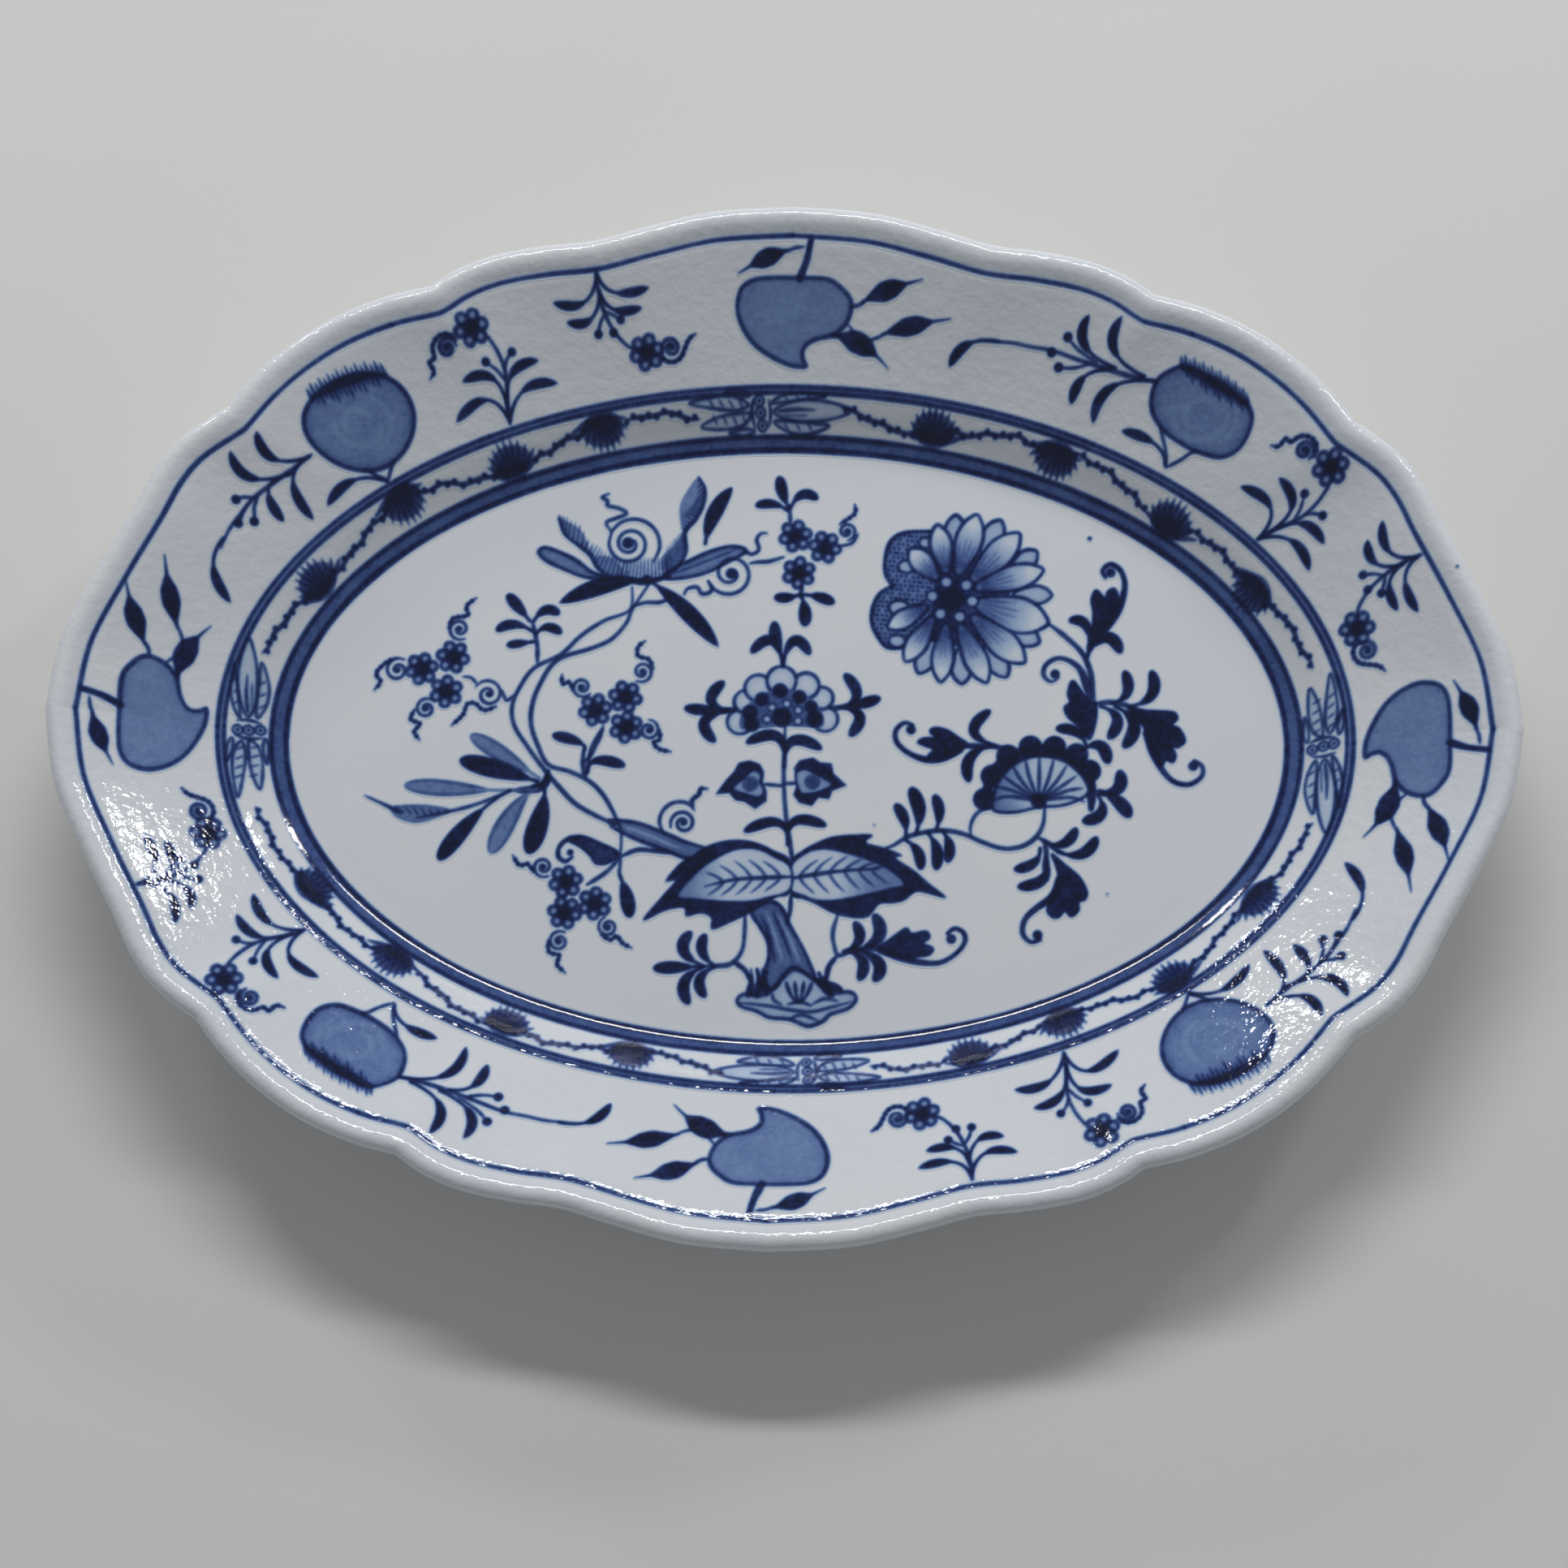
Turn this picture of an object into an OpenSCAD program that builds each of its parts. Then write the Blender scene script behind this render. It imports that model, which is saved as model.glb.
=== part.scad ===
// Oval serving platter of glazed porcelain with a lobed, rolled rim and a cobalt pattern under the glaze.
// It lies on its foot ring. The origin is the centre of the foot plane, +X runs along the length, +Z is up.

/* [Platter] */
// Overall length, from lobe to lobe
platter_l = 365; // [330:1:400]
// Overall width, from lobe to lobe
platter_w = 265; // [240:1:290]
// Overall height, from the table to the top of the rolled lip
platter_h = 37; // [35:0.5:42]
// Thickness of the wall, measured upright
wall = 4.5; // [3.5:0.1:5]

/* [Foot ring] */
// Height of the foot ring below the underside of the well
foot_h = 3.5; // [2.5:0.1:4.5]
// Width of the foot ring's resting face
foot_w = 5; // [3.5:0.1:7]
// Distance of the foot ring's outer edge inside the edge of the well
foot_inset = 3; // [0:0.5:8]

/* [Well and border] */
// Length of the flat well
well_l = 248; // [235:1:252]
// Width of the flat well
well_w = 150; // [140:1:154]
// Length of the painted border that runs round the top of the cavetto
border_l = 284; // [278:1:290]
// Width of the painted border that runs round the top of the cavetto
border_w = 181; // [176:1:186]
// Rise of the cavetto, from the well to the border
cavetto_rise = 10; // [8:0.5:12]

/* [Rolled lip] */
// Radius of the rolled lip
lip_r = 2.7; // [2.2:0.1:3]
// Distance of the painted groove inside the outline
groove_in = 7.5; // [6.5:0.1:9]
// Depth of the painted groove below the top of the lip
groove_drop = 2.2; // [1.5:0.1:3]

/* [Cobalt painting] */
// Thickness of the cobalt and the glaze over it
paint_t = 0.12; // [0.08:0.01:0.3]
// Width of the line in the rim's groove
rim_line_w = 1.5; // [1:0.1:2.5]

/* [Hidden] */

porcelain = "gainsboro";
cobalt = "midnightblue";
cobalt_wash = "steelblue";

// The pattern and the outline are drawn for a platter of this length and width, and follow its real size.
drawn_l = 365;
drawn_w = 265;
scale_x = platter_l / drawn_l;
scale_y = platter_w / drawn_w;

well_z = foot_h + wall;
border_z = well_z + cavetto_rise;
groove_z = platter_h - groove_drop;
lip_z = platter_h - lip_r;
paint_grip = 0.02;

// One quadrant of the outline, as three runs that meet at the two cusps.
side_run = [[182.5, 0], [179.3, 19], [171, 37], [162.8, 52.5], [157.8, 62.5], [151.5, 70.5], [141.3, 78]];
corner_run = [[141.3, 78], [134.5, 86.5], [126, 94.5], [115, 102], [102.5, 107.5], [91, 110.5]];
top_run = [
    [91, 110.5], [84, 115.2], [74.5, 119], [62, 121.5], [50, 123], [37, 126.8], [20, 131], [0, 132.5]
];
run_steps = 2;

// ---- Plane geometry ----

function along(p, q, t) = p + (q - p) * t;
function unit(v) = v / norm(v);
function left_of(v) = [-v.y, v.x];
function at_end(list, i) = list[max(0, min(len(list) - 1, i))];
function flip(list) = [for (i = [len(list) - 1:-1:0]) list[i]];

// Point on a Catmull-Rom curve through p, in the span that starts at p[i].
function curve_point(p, i, t) =
    let (a = at_end(p, i - 1), b = p[i], c = at_end(p, i + 1), d = at_end(p, i + 2))
    0.5 * (2 * b + (c - a) * t + (2 * a - 5 * b + 4 * c - d) * t * t + (3 * b - a - 3 * c + d) * t * t * t);

function curve(p, steps) = concat(
    [for (i = [0:len(p) - 2], s = [0:steps - 1]) curve_point(p, i, s / steps)],
    [p[len(p) - 1]]
);

function without_last(list) = [for (i = [0:len(list) - 2]) list[i]];
function mirror_x(list) = [for (p = flip(list)) [-p.x, p.y]];
function turned(list) = [for (p = list) [-p.x, -p.y]];

quadrant = concat(
    without_last(curve(side_run, run_steps)),
    without_last(curve(corner_run, run_steps)),
    curve(top_run, run_steps)
);
half_outline = concat(without_last(quadrant), without_last(mirror_x(quadrant)));
outline = [for (p = concat(half_outline, turned(half_outline))) [p.x * scale_x, p.y * scale_y]];
n = len(outline);

function around(i) = (i + n) % n;
function inward(i) = unit(left_of(outline[around(i + 1)] - outline[around(i - 1)]));
function inset_point(i, d) = outline[i] + inward(i) * d;

// Radius of an ellipse, given its two diameters, in the direction of angle a.
function ellipse_r(a, l, w) = 1 / sqrt(pow(2 * cos(a) / l, 2) + pow(2 * sin(a) / w, 2));

function turn_angle(p) = (atan2(p.y, p.x) + 360) % 360;
groove = [for (i = [0:n - 1]) inset_point(i, groove_in)];
groove_angles = [for (p = groove) turn_angle(p)];
groove_table = concat(
    [for (i = [0:n - 1]) [groove_angles[i], norm(groove[i])]],
    [[360, norm(groove[0])]]
);

// ---- The upper surface ----

// The slope of the rim where it meets the cavetto, as a share of the cavetto's mean slope.
meeting_slope = 0.55;
function cavetto_curve(k) = (3 - meeting_slope) * k * k - (2 - meeting_slope) * k * k * k;
cavetto_stops = [0, 0.2, 0.4, 0.7, 1];
cavetto_table = [for (k = cavetto_stops) [k, well_z + cavetto_rise * cavetto_curve(k)]];
rim_sag = 0.12;
rim_stops = [0, 0.35, 0.7, 1];
rim_table = [for (v = rim_stops) [v, border_z + (groove_z - border_z) * (v - rim_sag * v * (1 - v))]];

function well_r(a) = ellipse_r(a, well_l, well_w);
function border_r(a) = ellipse_r(a, border_l, border_w);

// Height of the upper surface inside the groove.
function top_z(p) =
    let (a = turn_angle(p), r = norm(p), rw = well_r(a), rb = border_r(a))
    r <= rw ? well_z
    : r <= rb ? lookup((r - rw) / (rb - rw), cavetto_table)
    : lookup((r - rb) / (lookup(a, groove_table) - rb), rim_table);

// Point of the cavetto, a share k of the way from the well to the border, or of the rim, a share v further.
function polar(a, r) = [r * cos(a), r * sin(a)];
function cavetto_point(a, k) = polar(a, well_r(a) + k * (border_r(a) - well_r(a)));
function rim_point(i, v) =
    polar(groove_angles[i], along(border_r(groove_angles[i]), norm(groove[i]), v));

// ---- Body ----

lip_turn = [-100, -75, -50, -25, 0, 25, 50, 75, 105];
function lip_ring(turn) = [for (i = [0:n - 1])
    let (p = inset_point(i, lip_r - lip_r * cos(turn))) [p.x, p.y, lip_z + lip_r * sin(turn)]];
function rim_ring(v, drop) = [for (i = [0:n - 1])
    let (p = rim_point(i, v)) [p.x, p.y, lookup(v, rim_table) - drop]];
function cavetto_ring(k, drop) = [for (i = [0:n - 1])
    let (p = cavetto_point(groove_angles[i], k)) [p.x, p.y, lookup(k, cavetto_table) - drop]];
function without_first(list) = [for (i = [1:len(list) - 1]) list[i]];

body_rings = concat(
    [for (k = cavetto_stops) cavetto_ring(k, wall)],
    [for (v = without_first(rim_stops)) rim_ring(v, wall)],
    [for (turn = lip_turn) lip_ring(turn)],
    [for (v = flip(rim_stops)) rim_ring(v, 0)],
    [for (k = without_first(flip(cavetto_stops))) cavetto_ring(k, 0)]
);

// Closed solid through a stack of rings, with a flat face on the first and on the last.
module loft(rings) {
    m = len(rings[0]);
    last = len(rings) - 1;
    points = [for (ring = rings, p = ring) p];
    sides = [for (j = [0:last - 1], i = [0:m - 1], half = [0, 1])
        let (a = j * m + i, b = j * m + (i + 1) % m)
        half == 0 ? [a, a + m, b] : [b, a + m, b + m]];
    first_cap = [[for (i = [0:m - 1]) i]];
    last_cap = [[for (i = [m - 1:-1:0]) last * m + i]];
    polyhedron(points, concat(first_cap, sides, last_cap), convexity = 6);
}

module body() {
    color(porcelain) loft(body_rings);
}

// ---- Foot ring ----

module oval(l, w) {
    polygon([for (i = [0:n - 1]) polar(groove_angles[i], ellipse_r(groove_angles[i], l, w))]);
}

module foot_ring() {
    outer_l = well_l - 2 * foot_inset;
    outer_w = well_w - 2 * foot_inset;
    color("antiquewhite") linear_extrude(foot_h) difference() {
        oval(outer_l, outer_w);
        oval(outer_l - 2 * foot_w, outer_w - 2 * foot_w);
    }
}

// ---- Brush strokes, as closed outlines in the plane ----

// A leaf or petal from its base to its tip, w wide, bowed to the left by bend.
leaf_shape = [[0, 0.16], [0.2, 0.7], [0.5, 1], [0.8, 0.7], [1, 0.1]];
function leaf(base, tip, w, bend = 0) =
    let (
        side = left_of(unit(tip - base)),
        spine = [for (s = leaf_shape) along(base, tip, s[0]) + side * bend * sin(180 * s[0])]
    )
    concat(
        [for (i = [0:len(spine) - 1]) spine[i] - side * leaf_shape[i][1] * w / 2],
        [for (i = [len(spine) - 1:-1:0]) spine[i] + side * leaf_shape[i][1] * w / 2]
    );

// A stroke of constant width along a curve through the points.
function stroke(points, w, steps = 3) =
    let (
        p = curve(points, steps),
        m = len(p) - 1,
        sides = [for (i = [0:m]) left_of(unit(p[min(m, i + 1)] - p[max(0, i - 1)])) * w / 2]
    )
    concat([for (i = [0:m]) p[i] - sides[i]], [for (i = [m:-1:0]) p[i] + sides[i]]);

function disc(c, r, sides = 12) = [for (i = [0:sides - 1]) c + polar(360 * i / sides, r)];

// A round flower with a scalloped edge, shaped like a cog of soft petals.
function scalloped(c, r, petals, depth, start = 0) =
    [for (i = [0:petals * 4 - 1]) let (a = start + 90 * i / petals)
        c + polar(a, r * (1 - depth * pow(cos(petals * (a - start) / 2), 2)))];

function spiral(c, r, start, turns, w) =
    stroke([for (i = [0:turns * 6]) c + polar(start + 60 * i, r * (1 - i / (turns * 6 + 2)))], w, 1);

// Moves outlines from their own frame to the platter: pose is [x, y, turn].
function placed(list, pose) = [for (p = list)
    [pose[0] + p.x * cos(pose[2]) - p.y * sin(pose[2]), pose[1] + p.x * sin(pose[2]) + p.y * cos(pose[2])]];

// ---- Painted solids ----

// Each outline becomes a thin solid on the flat well.
module on_well(outlines, tone = cobalt) {
    color(tone) for (shape = outlines)
        translate([0, 0, well_z]) linear_extrude(paint_t)
            polygon([for (p = shape) [p.x * scale_x, p.y * scale_y]]);
}

// A thin solid that follows the upper surface, drawn as a fan about the outline's middle.
module draped(shape) {
    m = len(shape);
    flat = [for (p = shape) [p.x * scale_x, p.y * scale_y]];
    middle = [for (axis = [0, 1]) [for (p = flat) p[axis]] * [for (i = [1:m]) 1] / m];
    plan = concat(flat, [middle]);
    under = [for (p = plan) [p.x, p.y, top_z(p) - paint_grip]];
    over = [for (p = plan) [p.x, p.y, top_z(p) + paint_t]];
    top = m + 1;
    polyhedron(concat(under, over), [for (i = [0:m - 1], part = [0:3])
        let (j = (i + 1) % m)
        part == 0 ? [i, j, m]
        : part == 1 ? [top + j, top + i, top + m]
        : part == 2 ? [j, i, top + i]
        : [j, top + i, top + j]], convexity = 4);
}

// A thin solid that follows the upper surface, drawn as a strip between the outline's two sides.
module draped_strip(shape) {
    m = len(shape) / 2;
    rings = [for (i = [0:m - 1])
        let (
            a = [shape[i].x * scale_x, shape[i].y * scale_y],
            b = [shape[2 * m - 1 - i].x * scale_x, shape[2 * m - 1 - i].y * scale_y]
        )
        [
            [b.x, b.y, top_z(b) - paint_grip], [b.x, b.y, top_z(b) + paint_t],
            [a.x, a.y, top_z(a) + paint_t], [a.x, a.y, top_z(a) - paint_grip]
        ]];
    loft(rings);
}

module on_slope(outlines, tone = cobalt) {
    color(tone) for (shape = outlines) draped(shape);
}

module strips_on_slope(outlines, tone = cobalt) {
    color(tone) for (shape = outlines) draped_strip(shape);
}

// A closed ribbon between two rings of points on the upper surface.
module ribbon(inner, outer) {
    m = len(inner);
    points = concat(
        [for (p = inner) [p.x, p.y, top_z(p) - paint_grip]],
        [for (p = inner) [p.x, p.y, top_z(p) + paint_t]],
        [for (p = outer) [p.x, p.y, top_z(p) + paint_t]],
        [for (p = outer) [p.x, p.y, top_z(p) - paint_grip]]
    );
    polyhedron(points, [for (j = [0:3], i = [0:m - 1], half = [0, 1])
        let (
            a = j * m + i, b = j * m + (i + 1) % m,
            c = ((j + 1) % 4) * m + i, d = ((j + 1) % 4) * m + (i + 1) % m
        )
        half == 0 ? [a, b, c] : [b, d, c]], convexity = 8);
}

// Mean width of the rim, from the border to the groove.
rim_span = 34;

module rim_line() {
    inner_v = 1 - rim_line_w / rim_span;
    color(cobalt) ribbon(
        [for (i = [0:n - 1]) rim_point(i, inner_v)],
        [for (i = [0:n - 1]) rim_point(i, 1)]
    );
}

line_sides = 96;
module border_line(k0, k1) {
    color(cobalt) ribbon(
        [for (i = [0:line_sides - 1]) cavetto_point(360 * i / line_sides, k0)],
        [for (i = [0:line_sides - 1]) cavetto_point(360 * i / line_sides, k1)]
    );
}

module border_outer_lines() {
    border_line(0.8, 0.87);
    border_line(0.93, 1);
}

module border_inner_lines() {
    border_line(0.1, 0.22);
    border_line(0.25, 0.37);
}

// ---- Border of the cavetto ----

// Point of the border at turn t of the ellipse, a share k of the way from the well to the border line.
function border_point(t, k) = [
    along(well_l, border_l, k) / 2 / scale_x * cos(t),
    along(well_w, border_w, k) / 2 / scale_y * sin(t)
];

half_shells = [28.8, 44.1, 60.6, 74.6, 110.5, 121.9, 135.5, 152.8];
shell_turns = [for (half = [0, 180], t = half_shells) t + half];
rosette_turns = [0, 90, 180, 270];

// A fan-shaped shell with a toothed edge.
function shell(t) = [for (i = [0:11])
    border_point(t + 2.6 * cos(30 * i), 0.58 + (i % 2 == 0 ? 0.17 : 0.13) * sin(30 * i))];

module border_shells() {
    on_slope([for (t = shell_turns) shell(t)]);
}

function rosette_petal(t, side, k) =
    leaf(border_point(t + side * 1.6, k), border_point(t + side * 6.5, k), 1.4);

module border_rosettes() {
    on_slope([for (t = rosette_turns, k = [0.46, 0.58, 0.7]) disc(border_point(t, k), 0.85, 8)]);
    on_slope([for (t = rosette_turns, side = [-1, 1], k = [0.45, 0.55, 0.65, 0.74])
        rosette_petal(t, side, k)], cobalt_wash);
}

// The thorny stem runs from shell to shell, above one and below the next.
function garland_run(i) =
    let (a = shell_turns[i] + 3.4, b = shell_turns[i + 1] - 3.4, high = i % 2 == 0 ? 0.7 : 0.46)
    stroke(
        [border_point(a, high), border_point(along(a, b, 0.5), 0.58), border_point(b, 1.16 - high)], 0.7, 2
    );

module border_garland() {
    strips_on_slope([for (q = [0:3], i = [0:2]) garland_run(4 * q + i)]);
}

// ---- Fruit on the rim, each drawn upright with its middle at the origin ----

peach_poses = [[0.5, 107, 0], [-158, 2, 90], [0, -107, 180], [158, -3, 270]];
peach_outline = [
    [-12, 8], [0, 8.5], [9, 8], [13.5, 5], [14.5, 1], [12, -3], [5, -5.5], [2.5, -11], [-2.5, -9.5],
    [-10, -5], [-13.8, 0], [-14, 5]
];
peach_leaves = [
    leaf([2.5, 9], [4, 16], 1.6),
    leaf([-3, 14.5], [-12.5, 9.5], 3),
    leaf([17.5, 4.5], [31, 8], 4.5),
    leaf([22, -4.5], [39, -0.5], 4.5),
    leaf([11, -4.5], [23, -12], 6)
];

module rim_peaches() {
    on_slope([for (pose = peach_poses) placed(peach_outline, pose)], cobalt_wash);
}

module rim_peach_leaves() {
    on_slope([for (pose = peach_poses, shape = peach_leaves) placed(shape, pose)]);
}

pomegranate_poses = [[103, 83, -24], [-108.5, 77, 26], [-103, -83, 156], [108.5, -77, 206]];
pomegranate_r = 12;
pomegranate_sprig = [
    leaf([-18, 7], [-26, 12], 2.6, -2), leaf([-20, 4], [-30, 7.5], 2.6, 2),
    leaf([-19, -4], [-27, -9], 2.8, 2), leaf([-26, -2.5], [-32, -11], 2.8, 2),
    leaf([-14, -8], [-19, -15], 3.2, 2), leaf([-52.8, -7.4], [-58.5, -17], 3.2, 2)
];
pomegranate_stems = [
    stroke([[-12.5, 1], [-24, 0], [-34, 1.5], [-46, 0], [-52, -6]], 0.9, 2),
    stroke([[-2, -16], [-6, -12.5]], 0.8, 1), stroke([[-1, -16], [2, -12.5]], 0.8, 1)
];

module rim_pomegranates() {
    on_slope([for (pose = pomegranate_poses) placed(disc([0, 0], pomegranate_r, 18), pose)], cobalt_wash);
    on_slope([for (pose = pomegranate_poses) placed(leaf([-9.5, 11.5], [10.5, 11], 3, 3), pose)]);
}

module rim_pomegranate_sprigs() {
    on_slope([for (pose = pomegranate_poses, shape = pomegranate_sprig) placed(shape, pose)]);
    strips_on_slope([for (pose = pomegranate_poses, shape = pomegranate_stems) placed(shape, pose)]);
}

// Sprigs on the rim, each drawn with its root at the origin and growing along +Y.
hanging_poses = [[-49.4, 114.5, 180], [-158, -44.5, 250], [49.4, -114.5, 0], [158, 44.5, 70]];
rising_poses = [[-71, 79.5, 10], [-117.5, -51.5, 115], [71, -79.5, 190], [117.5, 51.5, 295]];
sprig_leaves = [
    leaf([1.7, 5], [9.5, 5], 2.6, 1.5), leaf([1.8, 9], [9, 11], 2.6, 1.5),
    leaf([-1.2, 3], [-12, 3], 2.8, -1.5),
    leaf([-1.2, 8], [-9, 9.5], 2.6, -1.5), leaf([-1.6, 11.3], [-5.5, 13], 2)
];
sprig_stems = [
    stroke([[0, 0], [0.5, 8], [-1, 14], [-4.5, 17]], 0.9, 2),
    spiral([-17.7, 17.6], 2.6, 20, 1, 0.7)
];

module sprigs(poses) {
    on_slope([for (pose = poses, shape = sprig_leaves) placed(shape, pose)]);
    on_slope([for (pose = poses) placed(scalloped([-9.5, 19], 4.4, 5, 0.2), pose)]);
    strips_on_slope([for (pose = poses, shape = sprig_stems) placed(shape, pose)]);
}

module rim_hanging_sprigs() {
    sprigs(hanging_poses);
}

module rim_rising_sprigs() {
    sprigs(rising_poses);
}

// ---- Painting in the well ----

module rock_and_trunk() {
    on_well([
        [[-10, -66], [-4, -61.5], [0, -59.5], [10, -61], [19, -65], [15, -69.5], [7, -71.5], [0, -69.5]],
        [[-4, -42.5], [1, -46], [4, -52], [8, -60.5], [4, -59], [-1, -59.3], [-2, -53], [-6, -46]]
    ], cobalt_wash);
}

module great_leaves() {
    on_well([leaf([2.8, -33.5], [41, -39], 18, 0.5),
        leaf([1.6, -33.5], [-34, -46], 18, -0.5)], cobalt_wash);
}

module centre_stem() {
    on_well([
        stroke([[0.2, 5], [0.2, -8], [1.5, -20], [2.2, -30]], 0.9),
        leaf([1.2, -0.5], [9, 0.5], 2.4, 1.5), leaf([-0.8, -0.5], [-8.5, 0.5], 2.4, -1.5),
        leaf([2.4, -21], [10, -20.5], 2.4, 1.5), leaf([0.2, -21.5], [-9, -21.5], 2.4, -1.5),
        leaf([2.5, -10], [15, -10.5], 9), leaf([-2, -10], [-15, -10.5], 9)
    ]);
}

module aster() {
    on_well([scalloped([0, 9], 12, 7, 0.12, 15)], cobalt_wash);
    on_well([
        leaf([13.5, 10], [23, 11.5], 2.6), leaf([14.5, 11.5], [15, 17], 2.8), leaf([15, 8.5], [17, 3], 2.8),
        leaf([-13.5, 9], [-24, 8], 2.6), leaf([-16, 10.5], [-17, 15], 2.8), leaf([-16, 7], [-19, 1], 2.8),
        leaf([-1, 21.5], [-3, 30.5], 3), leaf([0.5, 22], [5.5, 24], 2.6, 1),
        leaf([-2, 22], [-8.5, 24], 2.6, -1)
    ]);
}

module left_branch() {
    on_well([
        stroke(
            [[-17, -28], [-32, -24.5], [-45, -20], [-56, -14], [-63, -4], [-68, 8], [-63, 18], [-56, 24.5]], 1.4
        ),
        stroke([[-61, -5.5], [-64, 6], [-61, 18], [-52, 23], [-44, 27], [-40, 33], [-39, 38.5]], 1),
        stroke([[-42, -21], [-40.5, -27], [-39, -31]], 1.2),
        leaf([-43, -30], [-56, -28], 3.6, -1.5), leaf([-41, -34], [-37.5, -44.5], 3.4)
    ]);
}

module leaf_fan() {
    on_well([
        leaf([-64, -7.5], [-78.5, 0.5], 3.6), leaf([-63, -10.2], [-81, -6.5], 4),
        leaf([-71, -13.2], [-94.5, -12.5], 4.2),
        leaf([-76, -18], [-104, -18.5], 3.4), leaf([-76.5, -20], [-85.5, -30], 3.8),
        leaf([-65, -15.5], [-72.5, -28.5], 4.4), leaf([-59.5, -15.5], [-63, -28], 4.4)
    ]);
}

module lily() {
    on_well([
        leaf([-37, 42], [-57.5, 35.5], 4.2, 0), leaf([-33.5, 40.5], [-18, 25.5], 4.4),
        leaf([-21.5, 52], [-16, 66], 3.6), leaf([-27, 50], [-23, 68], 5), leaf([-26, 46], [-8, 49.5], 4),
        leaf([-51, 42.5], [-63, 49], 3.6), leaf([-49, 47.5], [-58, 56.5], 4.4),
        spiral([-39.5, 52], 6, 0, 2, 0.9), leaf([-44, 44.5], [-30, 45], 3)
    ]);
}

blossom_places = [
    [-92, 18], [-84.5, 21], [-86, 12.5], [-47.8, 8], [-40.5, 11.5], [-40, 3.3], [-53.5, -36.5],
    [-54, -44.5], [-46.3, -42], [1.2, 53.5], [8.7, 51.2], [2.7, 44.5]
];

module plum_blossoms() {
    on_well([for (p = blossom_places) scalloped(p, 3.9, 6, 0.15)]);
}

module small_sprigs() {
    on_well([
        leaf([-66.5, 31.5], [-70.5, 37], 2.8), leaf([-63.5, 31.5], [-58, 33], 2.6, 1),
        leaf([-66.5, 28.5], [-73, 28.5], 2.6),
        leaf([-62.5, 28], [-57, 28], 2.6, 1), leaf([-65.5, 25.5], [-70, 25], 2.2),
        leaf([-2, 63.5], [-3.2, 69.5], 3), leaf([0.5, 63], [6.5, 64], 2.6, 1),
        leaf([-3.5, 61.5], [-9, 62], 2.4),
        leaf([4.5, 39.8], [5, 31], 3.2), leaf([6, 37.5], [11.5, 37], 2.8),
        leaf([2, 37.8], [-3.5, 37.5], 2.8),
        leaf([-16, -57], [-20, -52], 2.8), leaf([-19.5, -57.5], [-31, -58], 3),
        leaf([-18, -59.5], [-19, -64.5], 2.8),
        leaf([-22, -60], [-23.5, -66], 2.8), leaf([-22.5, -55.5], [-24, -49.5], 2.8)
    ]);
}

module chrysanthemum() {
    on_well([scalloped([42.5, 38.5], 21.5, 18, 0.1)], cobalt_wash);
}

module right_branch() {
    on_well([
        stroke([[28, -26], [34, -22.5], [43, -22.5], [52, -26], [60, -24.5], [65, -19], [64.5, -16]], 1.2),
        stroke([[65, 32], [72, 27], [76, 19], [77, 12.5]], 1),
        stroke([[79.5, 11.2], [86, 11.5], [91, 9.8]], 1)
    ]);
}

module scroll_leaves() {
    on_well([
        leaf([76.5, 30.5], [79.5, 41.5], 5), leaf([81, 32], [82.5, 47], 2.6, -2),
        leaf([76.5, 1], [75, 16], 7, 1), leaf([90, 9.5], [96.5, -7.5], 7, 2),
        leaf([57, -0.5], [29, -1], 6, -1.5), leaf([69.5, -29], [62, -44.5], 8.5, 3),
        leaf([25, -52], [44, -52], 5, -2), leaf([16.5, -28], [24, -22], 3)
    ]);
    on_well([
        leaf([73, 30], [72, 33.5], 2.2), leaf([79, 28], [84, 25], 2.6), leaf([84, 13], [85.5, 19], 2.6),
        leaf([89.5, 13], [92.5, 19.5], 2.6), leaf([82.5, 9.5], [81.5, 3], 2.6), leaf([87, 9], [86, 1], 2.8),
        leaf([31, -20.5], [28.5, -15], 2.8), leaf([35.5, -20.5], [32.5, -11.5], 3.2),
        leaf([39, -20.5], [38.5, -13.5], 2.8),
        leaf([33, -25], [35.5, -31], 2.8), leaf([37.5, -25.2], [39.5, -31], 2.8),
        leaf([40.5, -24.5], [43, -28.5], 2.6),
        leaf([67.5, -24], [73, -21], 2.8), leaf([71, -27], [78, -23.5], 3),
        leaf([62.5, -27], [59, -31.5], 2.6),
        leaf([64.5, -32], [60, -36], 3), leaf([19, -51], [19.5, -46], 2.6),
        leaf([22, -50], [24.5, -44.5], 2.8),
        leaf([19.5, -53.5], [20.5, -59.5], 2.6), leaf([22.5, -54], [24.5, -59.5], 2.8)
    ]);
}

module peony() {
    dome = [for (i = [0:12]) [65, -14] + [13 * cos(15 * i) - 0.5, 13 * sin(15 * i)]];
    on_well([concat(dome, [[54, -16], [60, -16.5], [70, -15.8], [76, -15]])], cobalt_wash);
    on_well([for (a = [10:20:170]) leaf([65 + 14.6 * cos(a), -13 + 14.2 * sin(a)],
        [65 + 18.5 * cos(a), -13 + 17.5 * sin(a)], 4.4)]);
}

body();
foot_ring();
rim_line();
border_outer_lines();
border_inner_lines();
border_shells();
border_rosettes();
border_garland();
rim_peaches();
rim_peach_leaves();
rim_pomegranates();
rim_pomegranate_sprigs();
rim_hanging_sprigs();
rim_rising_sprigs();
rock_and_trunk();
great_leaves();
centre_stem();
aster();
left_branch();
leaf_fan();
lily();
plum_blossoms();
small_sprigs();
chrysanthemum();
right_branch();
scroll_leaves();
peony();
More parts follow.
